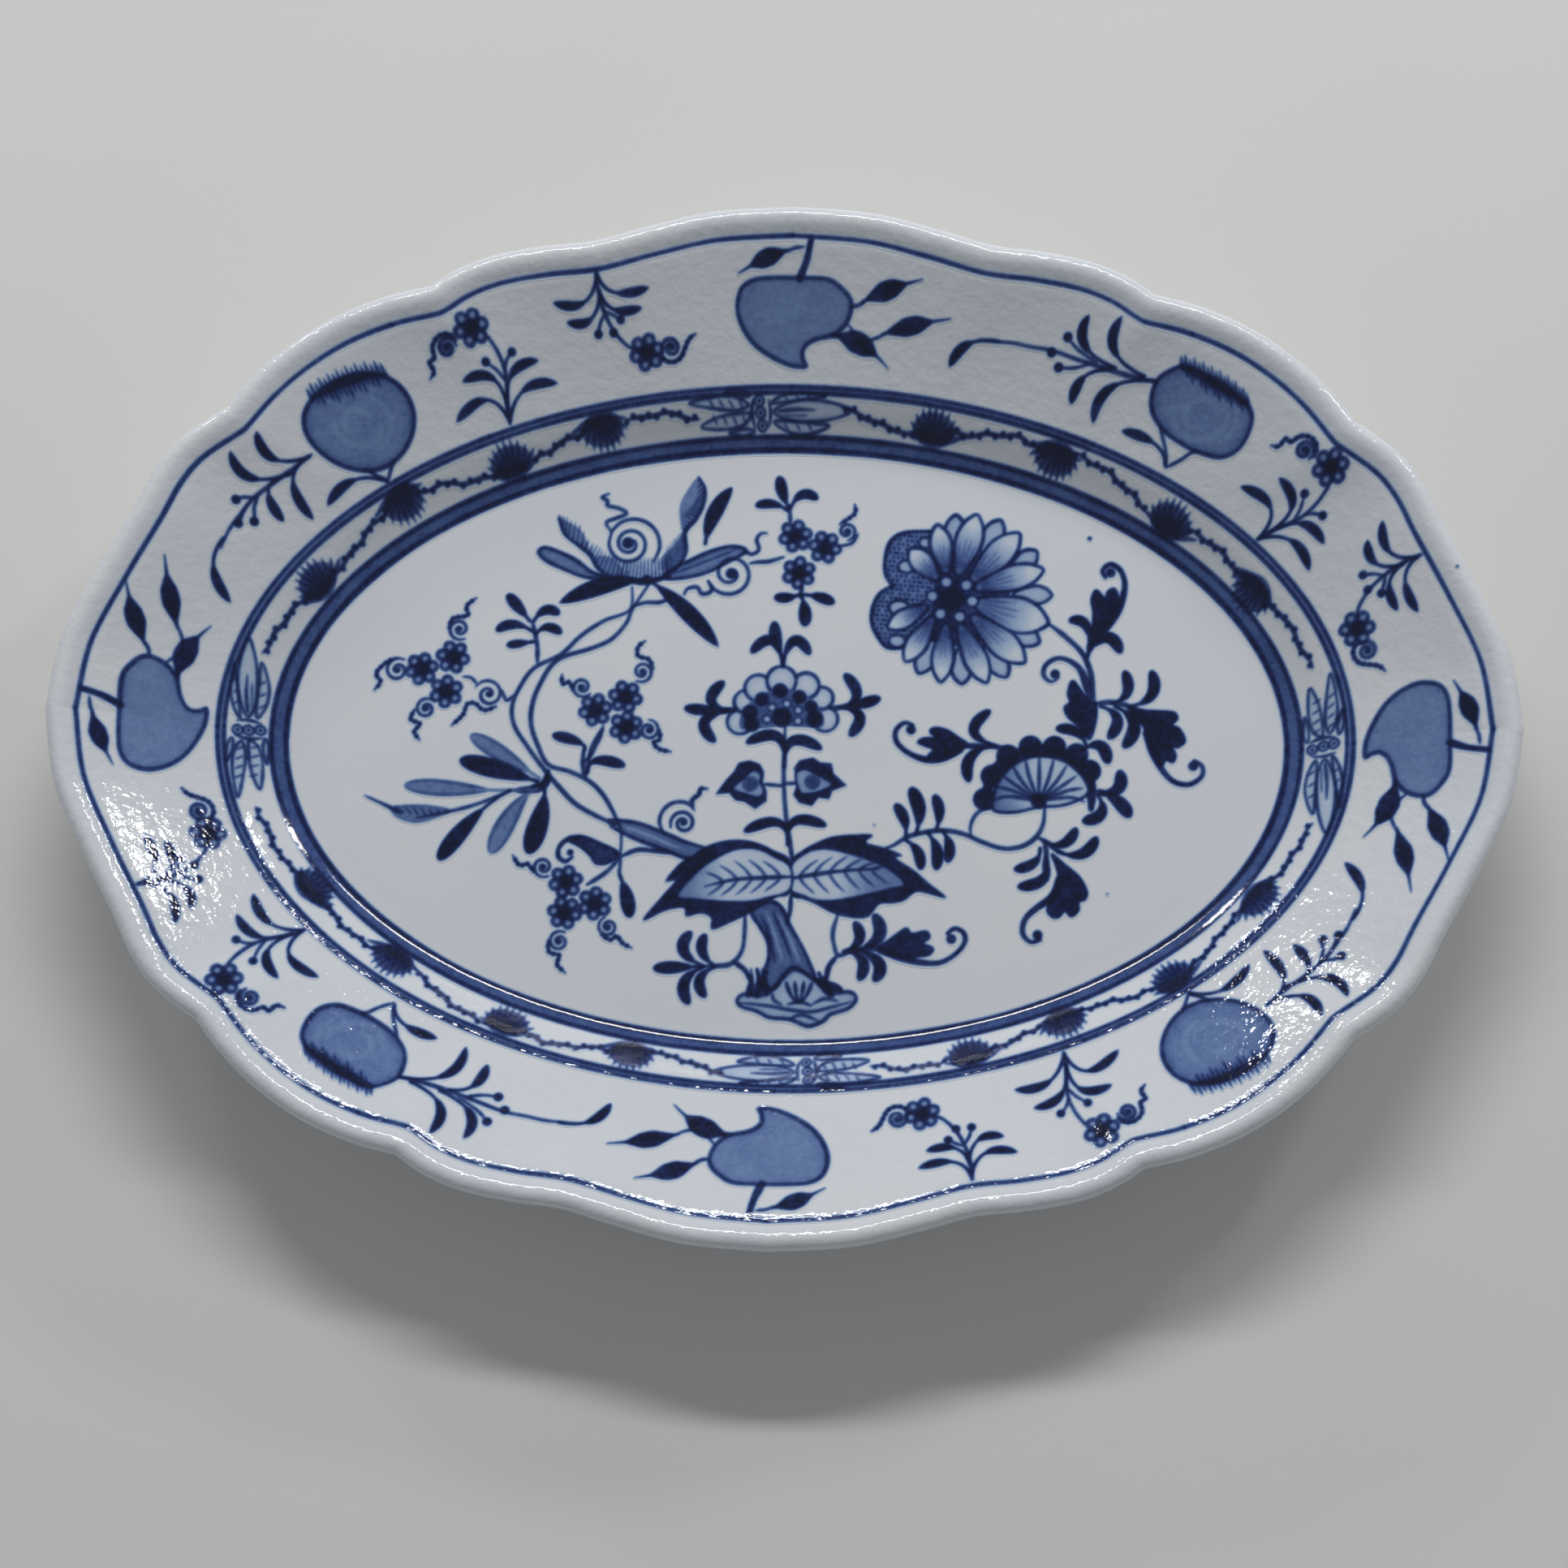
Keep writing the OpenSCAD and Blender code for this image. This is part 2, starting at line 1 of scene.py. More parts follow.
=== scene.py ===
"""Oval porcelain platter with a lobed, rolled rim and a blue pattern painted under the glaze.

The painting is laid on stroke by stroke, in millimetres on the platter's plan, as brush marks of
cobalt. Each motif then becomes its own thin mesh on the glaze, which carries the strength of the
cobalt at every point, and the material turns that strength into colour.
"""
import math

import bpy
import numpy as np
from mathutils import Matrix, Vector


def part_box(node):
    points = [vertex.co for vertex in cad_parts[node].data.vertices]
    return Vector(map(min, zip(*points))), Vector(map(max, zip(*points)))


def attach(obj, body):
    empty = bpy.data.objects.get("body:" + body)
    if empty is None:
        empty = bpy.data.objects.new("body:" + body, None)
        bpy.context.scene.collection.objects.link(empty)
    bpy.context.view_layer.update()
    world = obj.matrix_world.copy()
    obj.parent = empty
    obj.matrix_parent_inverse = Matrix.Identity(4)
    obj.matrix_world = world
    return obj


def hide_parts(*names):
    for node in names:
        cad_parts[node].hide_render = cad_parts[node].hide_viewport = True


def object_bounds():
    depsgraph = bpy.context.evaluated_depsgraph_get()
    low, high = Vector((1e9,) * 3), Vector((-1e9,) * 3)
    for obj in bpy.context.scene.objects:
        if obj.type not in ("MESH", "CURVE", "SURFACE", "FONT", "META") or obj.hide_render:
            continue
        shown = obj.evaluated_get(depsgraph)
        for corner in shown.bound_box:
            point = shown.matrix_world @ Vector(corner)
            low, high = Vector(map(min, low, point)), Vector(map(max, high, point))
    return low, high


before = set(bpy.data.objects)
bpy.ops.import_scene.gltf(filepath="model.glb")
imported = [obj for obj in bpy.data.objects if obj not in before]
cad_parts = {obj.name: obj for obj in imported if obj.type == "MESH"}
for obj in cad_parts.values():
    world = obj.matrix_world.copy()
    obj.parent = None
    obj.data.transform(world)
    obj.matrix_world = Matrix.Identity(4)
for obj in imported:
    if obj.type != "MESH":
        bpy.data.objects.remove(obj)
cad_low, cad_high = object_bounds()

MM = 0.001
PER_MM = 1000.0

# ---- Sizes, from the frame ----

CAD_PAINT = 0.12          # thickness of the CAD model's painted solids
WALL = 4.5                # the wall, measured upright
RIM_THINNING = 0.1        # how much of that the rim has lost at the groove
FOOT_INSET = 3.0          # from the edge of the well to the foot ring
FOOT_WIDTH = 5.0
LIP_R = 2.7               # radius of the rolled lip
GROOVE_IN = 7.5           # from the outline to the painted groove
RIM_SAG = 0.12            # how hollow the rim is between the border and the groove
MEETING_SLOPE = 0.55      # the cavetto's slope at the border, as a share of its mean slope

half_l = cad_high.x * PER_MM
half_w = cad_high.y * PER_MM
height = cad_high.z * PER_MM
foot_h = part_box("foot_ring")[1].z * PER_MM
well_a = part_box("foot_ring")[1].x * PER_MM + FOOT_INSET
well_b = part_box("foot_ring")[1].y * PER_MM + FOOT_INSET
border_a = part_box("border_outer_lines")[1].x * PER_MM
border_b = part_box("border_outer_lines")[1].y * PER_MM
well_z = foot_h + WALL
border_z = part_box("border_outer_lines")[1].z * PER_MM - CAD_PAINT
groove_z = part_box("rim_line")[1].z * PER_MM - CAD_PAINT
lip_z = height - LIP_R

# One quadrant of the outline, as three runs that meet at the two cusps, for a 365 x 265 platter.
DRAWN_HALF_L = 182.5
DRAWN_HALF_W = 132.5
SIDE_RUN = [(182.5, 0), (179.3, 19), (171, 37), (162.8, 52.5), (157.8, 62.5), (151.5, 70.5), (141.3, 78)]
CORNER_RUN = [(141.3, 78), (134.5, 86.5), (126, 94.5), (115, 102), (102.5, 107.5), (91, 110.5)]
TOP_RUN = [(91, 110.5), (84, 115.2), (74.5, 119), (62, 121.5), (50, 123), (37, 126.8), (20, 131), (0, 132.5)]
RUN_STEPS = 8


# ---- Curves in the plane ----

def catmull(points, steps, closed=False):
    """Points along a Catmull-Rom curve, steps to each span."""
    p = np.asarray(points, float)
    count = len(p)
    if closed:
        p = np.vstack([p[-1], p, p[0], p[1]])
        spans = count
    else:
        p = np.vstack([p[0], p, p[-1]])
        spans = count - 1
    t = (np.arange(steps) / steps)[:, None]
    runs = []
    for i in range(spans):
        a, b, c, d = p[i:i + 4]
        runs.append(0.5 * (2 * b + (c - a) * t + (2 * a - 5 * b + 4 * c - d) * t ** 2
                           + (3 * b - a - 3 * c + d) * t ** 3))
    if not closed:
        runs.append(p[-1:])
    return np.vstack(runs)


def evenly(points, spacing):
    """The same path with its points evenly spaced."""
    p = np.asarray(points, float)
    run = np.concatenate([[0], np.cumsum(np.hypot(*np.diff(p, axis=0).T))])
    count = max(3, int(run[-1] / spacing) + 2)
    s = np.linspace(0, run[-1], count)
    return np.column_stack([np.interp(s, run, p[:, 0]), np.interp(s, run, p[:, 1])])


def inside_of(ring, x, y):
    """Which of the points x, y lie inside a closed ring."""
    inside = np.zeros(x.shape, bool)
    for a, b in zip(ring, np.roll(ring, -1, axis=0)):
        if a[1] != b[1]:
            crosses = (a[1] > y) != (b[1] > y)
            inside ^= crosses & (x < (b[0] - a[0]) * (y - a[1]) / (b[1] - a[1]) + a[0])
    return inside


def distance_to(a, b, x, y):
    """How far the points x, y are from the straight stretch a to b, and the share of it they are nearest."""
    along = b - a
    t = np.clip(((x - a[0]) * along[0] + (y - a[1]) * along[1]) / max(along @ along, 1e-9), 0, 1)
    return np.hypot(x - a[0] - t * along[0], y - a[1] - t * along[1]), t


def oval_points(middle, radius_x, radius_y, count):
    """Evenly spaced points round an oval."""
    return [(middle[0] + radius_x * math.cos(a), middle[1] + radius_y * math.sin(a))
            for a in np.radians(np.linspace(0, 360, count, endpoint=False))]


def make_outline():
    """The platter's edge: three runs to a quadrant, mirrored once and then turned by half a turn."""
    side = catmull(SIDE_RUN, RUN_STEPS)[:-1]
    corner = catmull(CORNER_RUN, RUN_STEPS)[:-1]
    top = catmull(TOP_RUN, RUN_STEPS)
    quadrant = np.vstack([side, corner, top])
    half = np.vstack([quadrant[:-1], quadrant[:0:-1] * (-1, 1)])
    whole = np.vstack([half, -half])
    return whole * (half_l / DRAWN_HALF_L, half_w / DRAWN_HALF_W)


def inward_normals(ring):
    run = np.roll(ring, -1, axis=0) - np.roll(ring, 1, axis=0)
    side = np.column_stack([-run[:, 1], run[:, 0]])
    return side / np.linalg.norm(side, axis=1)[:, None]


outline = make_outline()
inward = inward_normals(outline)
groove = outline + inward * GROOVE_IN


def polar_table(ring):
    """The ring's radius at each of its own polar angles, ready for np.interp."""
    angle = np.arctan2(ring[:, 1], ring[:, 0]) % (2 * math.pi)
    order = np.argsort(angle)
    return angle[order], np.hypot(ring[:, 0], ring[:, 1])[order]


outline_table = polar_table(outline)
groove_table = polar_table(groove)


def ring_radius(angle, table):
    return np.interp(angle, table[0], table[1], period=2 * math.pi)


def oval_radius(angle, a, b):
    return 1 / np.sqrt((np.cos(angle) / a) ** 2 + (np.sin(angle) / b) ** 2)


# ---- The platter's surfaces ----

LIP_INNER = 3.6           # from the outline to where the lip's roll turns down to the groove
GROOVE_DIP = 0.35         # the groove's own depth
GROOVE_REACH = 1.3        # the groove's half width


def cavetto_z(k):
    """Height of the cavetto at a share k of the way from the well out to the border."""
    return well_z + (border_z - well_z) * ((3 - MEETING_SLOPE) * k ** 2 - (2 - MEETING_SLOPE) * k ** 3)


def rim_z(v):
    """Height of the rim at a share v of the way from the border out to the groove."""
    return border_z + (groove_z - border_z) * (v - RIM_SAG * v * (1 - v))


def lip_top_z(d):
    """Height of the upper face at a distance d inside the outline, out beyond the groove."""
    roll = lip_z + np.sqrt(np.clip(LIP_R ** 2 - (np.clip(d, 0, LIP_INNER) - LIP_R) ** 2, 0, None))
    t = np.clip((d - LIP_INNER) / (GROOVE_IN - LIP_INNER), 0, 1)
    slope = t * t * (3 - 2 * t) * 0.6 + t * 0.4
    return roll + (groove_z - roll) * slope


def groove_dip(d):
    return GROOVE_DIP * np.exp(-((d - GROOVE_IN) / GROOVE_REACH) ** 2)


def top_z(x, y):
    """Height of the upper face, in millimetres."""
    angle = np.arctan2(y, x) % (2 * math.pi)
    r = np.hypot(x, y)
    r_well = oval_radius(angle, well_a, well_b)
    r_border = oval_radius(angle, border_a, border_b)
    r_groove = ring_radius(angle, groove_table)
    r_out = ring_radius(angle, outline_table)
    k = np.clip((r - r_well) / (r_border - r_well), 0, 1)
    v = (r - r_border) / (r_groove - r_border)
    beyond = (r - r_groove) / (r_out - r_groove)
    d_out = GROOVE_IN * (1 - beyond)
    z = np.where(v <= 0, cavetto_z(k), rim_z(np.clip(v, 0, 1)))
    z = np.where(beyond > 0, lip_top_z(np.clip(d_out, 0, GROOVE_IN)), z)
    return z - groove_dip(d_out)


# ---- Meshes ----

def mesh_object(name, verts, faces, material):
    mesh = bpy.data.meshes.new(name)
    mesh.from_pydata([tuple(v) for v in np.asarray(verts) * MM], [], faces)
    mesh.validate()
    mesh.polygons.foreach_set("use_smooth", [True] * len(mesh.polygons))
    mesh.materials.append(material)
    mesh.update()
    piece = bpy.data.objects.new(name, mesh)
    bpy.context.scene.collection.objects.link(piece)
    return piece


def loft(name, rings, material, joined):
    """A mesh through rings of points. Its two ends are joined to each other, or each closed by a fan."""
    m = len(rings[0])
    count = len(rings)
    verts = [np.vstack(rings)]
    faces = []
    for j in range(count if joined else count - 1):
        a, b = j * m, ((j + 1) % count) * m
        faces += [(a + i, a + (i + 1) % m, b + (i + 1) % m, b + i) for i in range(m)]
    if not joined:
        first_tip = count * m
        last = first_tip - m
        verts += [ring.mean(axis=0)[None] for ring in (rings[0], rings[-1])]
        faces += [(first_tip, (i + 1) % m, i) for i in range(m)]
        faces += [(first_tip + 1, last + i, last + (i + 1) % m) for i in range(m)]
    return mesh_object(name, np.vstack(verts), faces, material)


ring_angle = np.arctan2(groove[:, 1], groove[:, 0]) % (2 * math.pi)
ring_dir = np.column_stack([np.cos(ring_angle), np.sin(ring_angle)])
ring_well = oval_radius(ring_angle, well_a, well_b)
ring_border = oval_radius(ring_angle, border_a, border_b)
ring_groove = ring_radius(ring_angle, groove_table)


def ring_at(radius, z):
    return np.column_stack([ring_dir * np.broadcast_to(radius, ring_angle.shape)[:, None],
                            np.broadcast_to(z, ring_angle.shape)])


def lip_ring(d, z):
    return np.column_stack([outline + inward * d, np.full(len(outline), z)])


def on_top(ring):
    """A ring laid on the platter's upper surface."""
    ring[:, 2] = top_z(ring[:, 0], ring[:, 1])
    return ring


def body_rings():
    """The closed profile, from the middle of the underside round the lip to the middle of the well."""
    rings = []
    for s in np.linspace(0.06, 1, 14):
        rings.append(ring_at(ring_well * s, foot_h))
    for k in np.linspace(0, 1, 14)[1:]:
        rings.append(ring_at(ring_well + k * (ring_border - ring_well), cavetto_z(k) - WALL))
    for v in np.linspace(0, 1, 20)[1:]:
        wall_here = WALL * (1 - RIM_THINNING * v)
        rings.append(ring_at(ring_border + v * (ring_groove - ring_border), rim_z(v) - wall_here))
    under_z = groove_z - WALL * (1 - RIM_THINNING)
    roll_start = lip_z - LIP_R
    for t in (0.3, 0.6, 0.85):
        ease = t * t * (3 - 2 * t)
        rings.append(lip_ring(GROOVE_IN + (LIP_R - GROOVE_IN) * t, under_z + (roll_start - under_z) * ease))
    for turn in np.radians(np.linspace(-90, 90, 17)):
        rings.append(lip_ring(LIP_R * (1 - math.cos(turn)), lip_z + LIP_R * math.sin(turn)))
    for d in np.linspace(LIP_R, GROOVE_IN, 18)[1:-1]:
        rings.append(on_top(lip_ring(d, groove_z)))
    for t in np.linspace(0, 1, 52):
        rings.append(on_top(ring_at(ring_groove + t ** 1.5 * (ring_border - ring_groove), groove_z)))
    for k in np.linspace(1, 0, 22)[1:]:
        rings.append(ring_at(ring_well + k * (ring_border - ring_well), cavetto_z(k)))
    for s in np.linspace(1, 0.04, 26)[1:]:
        rings.append(ring_at(ring_well * s, well_z))
    return rings


FOOT_SIDES = 240


def foot_rings():
    """The foot ring's rounded section, carried round its oval."""
    angle = np.linspace(0, 2 * math.pi, FOOT_SIDES, endpoint=False)
    outer_a, outer_b = well_a - FOOT_INSET, well_b - FOOT_INSET
    section = [
        (0.0, foot_h), (0.25, foot_h * 0.62), (0.4, foot_h * 0.3), (0.75, foot_h * 0.08), (1.3, 0.0),
        (FOOT_WIDTH / 2, 0.0), (FOOT_WIDTH - 1.3, 0.0), (FOOT_WIDTH - 0.75, foot_h * 0.08),
        (FOOT_WIDTH - 0.4, foot_h * 0.3), (FOOT_WIDTH - 0.2, foot_h * 0.62), (FOOT_WIDTH, foot_h),
    ]
    rings = []
    for inset, z in section:
        radius = oval_radius(angle, outer_a - inset, outer_b - inset)
        rings.append(np.column_stack([radius * np.cos(angle), radius * np.sin(angle),
                                      np.full(FOOT_SIDES, z)]))
    return rings[::-1]


# ---- The painter ----

GRID = 0.25               # spacing of the painting's grid
SEED = 7
EDGE = 0.16               # half width of a stroke's soft edge
FAINT = 0.03              # cobalt weaker than this is left off
GRAIN_SIZES = ((1.2, 0.45), (4.0, 0.35), (13.0, 0.2))  # the unevenness of the cobalt: lump size, share
GRAIN = 0.16              # how much that unevenness varies a deposit
PEN_STEP = 0.5            # spacing of the points along a pen line
TAPER = 0.18              # the share of a pen line over which each of its ends comes in
POOL_REACH = 0.9          # how far in from a wash's edge the cobalt pools
BLEED, HAZE = 0.2, 0.7    # how far the glaze draws out the edges, and how wide the haze round them is
HAZE_SHARE = 0.18
FULL_TONE = 0.97          # a brush loaded with cobalt
LINE_TONE = 0.82          # a pen line of middling strength
PETALS = 6                # of a small blossom


def cell_corners(field):
    """The field's values at the four corners of every cell of the grid."""
    return np.stack([field[:-1, :-1], field[:-1, 1:], field[1:, 1:], field[1:, :-1]])


class Painting:
    """Cobalt laid on a fine grid over the upper face, with the motif that each point belongs to."""

    def __init__(self):
        self.columns = 2 * int(half_l / GRID) + 1
        self.rows = 2 * int(half_w / GRID) + 1
        self.x = (np.arange(self.columns) - self.columns // 2) * GRID
        self.y = (np.arange(self.rows) - self.rows // 2) * GRID
        self.ink = np.zeros((self.rows, self.columns), np.float32)
        self.load = np.zeros_like(self.ink)
        self.owner = np.full(self.ink.shape, -1, np.int16)
        self.motifs = []
        self.pose = None
        self.random = np.random.default_rng(SEED)
        self.grain = sum(self.noise(size) * share for size, share in GRAIN_SIZES)

    def noise(self, size):
        """Smooth noise from -1 to 1, with lumps of about this size."""
        rows, columns = int(self.rows * GRID / size) + 3, int(self.columns * GRID / size) + 3
        coarse = self.random.uniform(-1, 1, (rows, columns))
        at_row = np.arange(self.rows) * GRID / size
        at_column = np.arange(self.columns) * GRID / size
        i, j = at_row.astype(int), at_column.astype(int)
        u, v = (at_row - i)[:, None], (at_column - j)[None]
        u, v = u * u * (3 - 2 * u), v * v * (3 - 2 * v)
        low = coarse[i][:, j] * (1 - v) + coarse[i][:, j + 1] * v
        high = coarse[i + 1][:, j] * (1 - v) + coarse[i + 1][:, j + 1] * v
        return (low * (1 - u) + high * u).astype(np.float32)

    def begin(self, motif, nodes, pose=None):
        """Start a motif. A pose (from_x, from_y, to_x, to_y, turn) moves it from where it is drawn."""
        self.motifs.append((motif, nodes))
        self.pose = pose

    def placed(self, points):
        """Points moved by the present motif's pose."""
        p = np.asarray(points, float).reshape(-1, 2)
        if self.pose is None:
            return p
        from_x, from_y, to_x, to_y, turn = self.pose
        c, s = math.cos(math.radians(turn)), math.sin(math.radians(turn))
        q = p - (from_x, from_y)
        return np.column_stack([to_x + q[:, 0] * c - q[:, 1] * s, to_y + q[:, 0] * s + q[:, 1] * c])

    def window(self, low, high):
        """The rows and columns of the grid that lie between two corners."""
        i0, i1 = np.searchsorted(self.y, (low[1], high[1]))
        j0, j1 = np.searchsorted(self.x, (low[0], high[0]))
        return slice(i0, i1), slice(j0, j1)

    def deposit(self, window, amount):
        """Lay cobalt over what is there. A point belongs to the motif that put the most on it."""
        amount = np.clip(amount * (1 + GRAIN * self.grain[window]), 0, 1)
        self.ink[window] = 1 - (1 - self.ink[window]) * (1 - amount)
        stronger = amount > self.load[window]
        self.owner[window][stronger] = len(self.motifs) - 1
        self.load[window] = np.maximum(self.load[window], amount)

    def wipe(self, window, share):
        """Take back a share of the cobalt, where a later stroke or a bare highlight covers it."""
        self.ink[window] *= 1 - share
        self.load[window] *= 1 - share

    def brush(self, spine, radii, tone):
        """A brush mark along a spine, with its own half width at each point. A tone below 0 wipes."""
        reach = radii.max() + 2 * EDGE
        rows, columns = self.window(spine.min(axis=0) - reach, spine.max(axis=0) + reach)
        cover = np.zeros((rows.stop - rows.start, columns.stop - columns.start), np.float32)
        for a, b, ra, rb in zip(spine[:-1], spine[1:], radii[:-1], radii[1:]):
            near = max(ra, rb) + 2 * EDGE
            part_rows, part_columns = self.window(np.minimum(a, b) - near, np.maximum(a, b) + near)
            x, y = self.x[part_columns][None], self.y[part_rows][:, None]
            gap, t = distance_to(a, b, x, y)
            part = np.clip(0.5 - (gap - (ra + t * (rb - ra))) / (2 * EDGE), 0, 1)
            here = (slice(part_rows.start - rows.start, part_rows.stop - rows.start),
                    slice(part_columns.start - columns.start, part_columns.stop - columns.start))
            cover[here] = np.maximum(cover[here], part)
        if tone < 0:
            self.wipe((rows, columns), -tone * cover)
        else:
            self.deposit((rows, columns), cover * tone)

    def line(self, points, width, tone=LINE_TONE, ends=(0.5, 0.5), steps=8):
        """A pen line along a smooth curve. The width may be a list, one for each point."""
        p = self.placed(points)
        spine = evenly(catmull(p, steps), PEN_STEP)
        t = np.linspace(0, 1, len(spine))
        widths = np.interp(t, np.linspace(0, 1, np.size(width)), np.atleast_1d(width))
        wobble = np.interp(t, np.linspace(0, 1, 7), self.random.uniform(0.88, 1.12, 7))
        taper = np.clip(ends[0] + (1 - ends[0]) * t / TAPER, 0, 1)
        taper = np.minimum(taper, np.clip(ends[1] + (1 - ends[1]) * (1 - t) / TAPER, 0, 1))
        self.brush(spine, widths * wobble * taper / 2, tone)

    def bowed(self, base, tip, bend, count=22):
        """Points from base to tip, bowed to the left by bend."""
        p = self.placed([base, tip])
        t = np.linspace(0, 1, count)[:, None]
        run = p[1] - p[0]
        side = np.array([-run[1], run[0]]) / max(np.hypot(*run), 1e-6)
        return p[0] + run * t + side * bend * np.sin(math.pi * t), t[:, 0]

    def comma(self, path, width, bend=0.0, tone=FULL_TONE, neck=0.12, tip=0.5):
        """A leaf laid with one press of the brush: thin at its base, full, and blunt at its tip.

        A path of two points bows by bend; a path of three is one smooth arc through its middle point.
        """
        if len(path) == 2:
            spine, t = self.bowed(path[0], path[1], bend)
        else:
            base, through, end = self.placed(path)
            t = np.linspace(0, 1, 24)[:, None]
            pull = 2 * through - (base + end) / 2
            spine = evenly((1 - t) ** 2 * base + 2 * t * (1 - t) * pull + t ** 2 * end, 0.4)
            t = np.linspace(0, 1, len(spine))
        u = np.clip((t - neck) / (1 - neck), 0, 1)
        press = u ** 0.9 * (1 - u) ** tip
        press = press / press.max()
        handle = np.interp(t, (0, 0.5, 1), (0.45, 0.34, 0.12))
        self.brush(spine, np.maximum(press * width / 2, handle), tone)

    def spear(self, base, tip, width, bend, tone):
        """A long leaf, pointed at both ends."""
        spine, t = self.bowed(base, tip, bend)
        self.brush(spine, np.maximum(np.sin(math.pi * t) ** 0.8 * width / 2, 0.15), tone)

    def dart(self, base, tip, width, bend):
        """A leaf with a full middle and a long drawn-out tip."""
        spine, t = self.bowed(base, tip, bend, 30)
        widths = (0.5, 0.9, width, width * 0.94, 0.7, 0.25)
        radii = np.interp(t, (0, 0.08, 0.36, 0.5, 0.74, 1), widths) / 2
        self.brush(spine, radii, FULL_TONE)

    def shape(self, points, tone, round_off=True, pool=0.35, shade=None, over=False):
        """A filled shape. Its wash pools at the edge. shade(x, y) may vary it. over hides what is below."""
        p = self.placed(points)
        if round_off:
            p = evenly(catmull(p, 5, closed=True), 0.9)
        rows, columns = self.window(p.min(axis=0) - 1, p.max(axis=0) + 1)
        x, y = np.meshgrid(self.x[columns], self.y[rows])
        gap = np.full(x.shape, np.inf)
        for a, b in zip(p, np.roll(p, -1, axis=0)):
            gap = np.minimum(gap, distance_to(a, b, x, y)[0])
        depth = np.where(inside_of(p, x, y), gap, -gap)
        cover = np.clip(0.5 + depth / (2 * EDGE), 0, 1)
        amount = tone * (1 + pool * np.exp(-np.maximum(depth, 0) / POOL_REACH) - 0.5 * pool)
        if shade is not None:
            amount = amount * shade(x, y)
        if over:
            self.wipe((rows, columns), cover)
        self.deposit((rows, columns), cover * amount)

    def contour(self, points, width, tone=LINE_TONE):
        """A pen line round a closed shape."""
        p = catmull(self.placed(points), 6, closed=True)
        spine = evenly(np.vstack([p, p[:1]]), PEN_STEP)
        t = np.linspace(0, 1, len(spine))
        wobble = np.interp(t, np.linspace(0, 1, 9), np.append(self.random.uniform(0.8, 1.2, 8), 1))
        wobble[-1] = wobble[0]
        self.brush(spine, width / 2 * wobble, tone)

    def dot(self, at, radius, tone=FULL_TONE):
        p = self.placed([at])
        self.brush(np.vstack([p, p + 0.01]), np.array([radius, radius]), tone)

    def curl(self, middle, r_out, r_in, start, sweep, width, tone=LINE_TONE, ends=(0.6, 1.0)):
        """A spiral line from its outer end to its eye. Angles are in degrees."""
        count = max(5, int(abs(sweep) / 30) + 1)
        t = np.linspace(0, 1, count)
        a = np.radians(start + sweep * t)
        r = r_out + (r_in - r_out) * t
        self.line(np.column_stack([middle[0] + r * np.cos(a), middle[1] + r * np.sin(a)]), width, tone, ends)

    def blossom(self, at, radius, start):
        """A small round flower: a dark eye in a ring of pale petals with thick outlines."""
        self.dot(at, 0.76 * radius, 0.6)
        for i in range(PETALS):
            a = math.radians(start + 360 * i / PETALS)
            c = (at[0] + 0.67 * radius * math.cos(a), at[1] + 0.67 * radius * math.sin(a))
            ring = oval_points(c, 0.28 * radius, 0.28 * radius, 8)
            self.shape(ring, 0.3, pool=0, over=True)
            self.contour(ring, 0.23 * radius, 0.76)
        self.dot(at, 0.42 * radius, 0.82)
        self.dot(at, 0.3 * radius)

    def soften(self):
        """The fired glaze draws every edge out a little, and leaves a faint haze round it."""
        sharp = blurred(self.ink, BLEED)
        haze = blurred(self.ink, HAZE)
        self.ink = np.clip((1 - HAZE_SHARE) * sharp + HAZE_SHARE * haze, 0, 1)
        for _ in range(8):
            for axis, step in ((0, 1), (0, -1), (1, 1), (1, -1)):
                moved = np.roll(self.owner, step, axis)
                empty = self.owner < 0
                self.owner[empty] = moved[empty]

    def sheet(self, index):
        """Vertices, faces and ink of one motif's share of the grid."""
        rows, columns = np.nonzero(self.cell_owner == index)
        if not len(rows):
            return None
        first = rows * self.columns + columns
        corners = np.stack([first, first + 1, first + self.columns + 1, first + self.columns], 1)
        used, faces = np.unique(corners, return_inverse=True)
        faces = faces.reshape(-1, 4)
        return self.at_x.ravel()[used], self.at_y.ravel()[used], faces, self.ink.ravel()[used]

    def share_out(self):
        """Give each cell to the motif of its strongest corner, and trim the paint to a smooth edge.

        A grid point just outside the paint moves in to where the cobalt fades out, by way of its
        straight neighbours if they are painted, and of its diagonal ones if not.
        """
        corners = cell_corners(self.ink)
        owner = np.take_along_axis(cell_corners(self.owner), corners.argmax(axis=0)[None], 0)[0]
        self.cell_owner = np.where(corners.max(axis=0) >= FAINT, owner, -1)
        inside = self.ink >= FAINT
        x, y = np.meshgrid(self.x, self.y)
        total_x, total_y, count = (np.zeros_like(x) for _ in range(3))
        for straight in (True, False):
            found_x, found_y, found = (np.zeros_like(x) for _ in range(3))
            for di in (-1, 0, 1):
                for dj in (-1, 0, 1):
                    if (abs(di) + abs(dj) == 1) != straight or (di, dj) == (0, 0):
                        continue
                    beside = np.roll(self.ink, (-di, -dj), (0, 1))
                    edge = (~inside) & (beside >= FAINT)
                    t = np.clip((FAINT - self.ink) / np.maximum(beside - self.ink, 1e-6), 0, 0.95)
                    found_x += np.where(edge, t * dj * GRID, 0)
                    found_y += np.where(edge, t * di * GRID, 0)
                    found += edge
            fresh = (count == 0) & (found > 0)
            total_x, total_y = np.where(fresh, found_x, total_x), np.where(fresh, found_y, total_y)
            count = np.where(fresh, found, count)
        count = np.maximum(count, 1)
        self.at_x, self.at_y = x + total_x / count, y + total_y / count


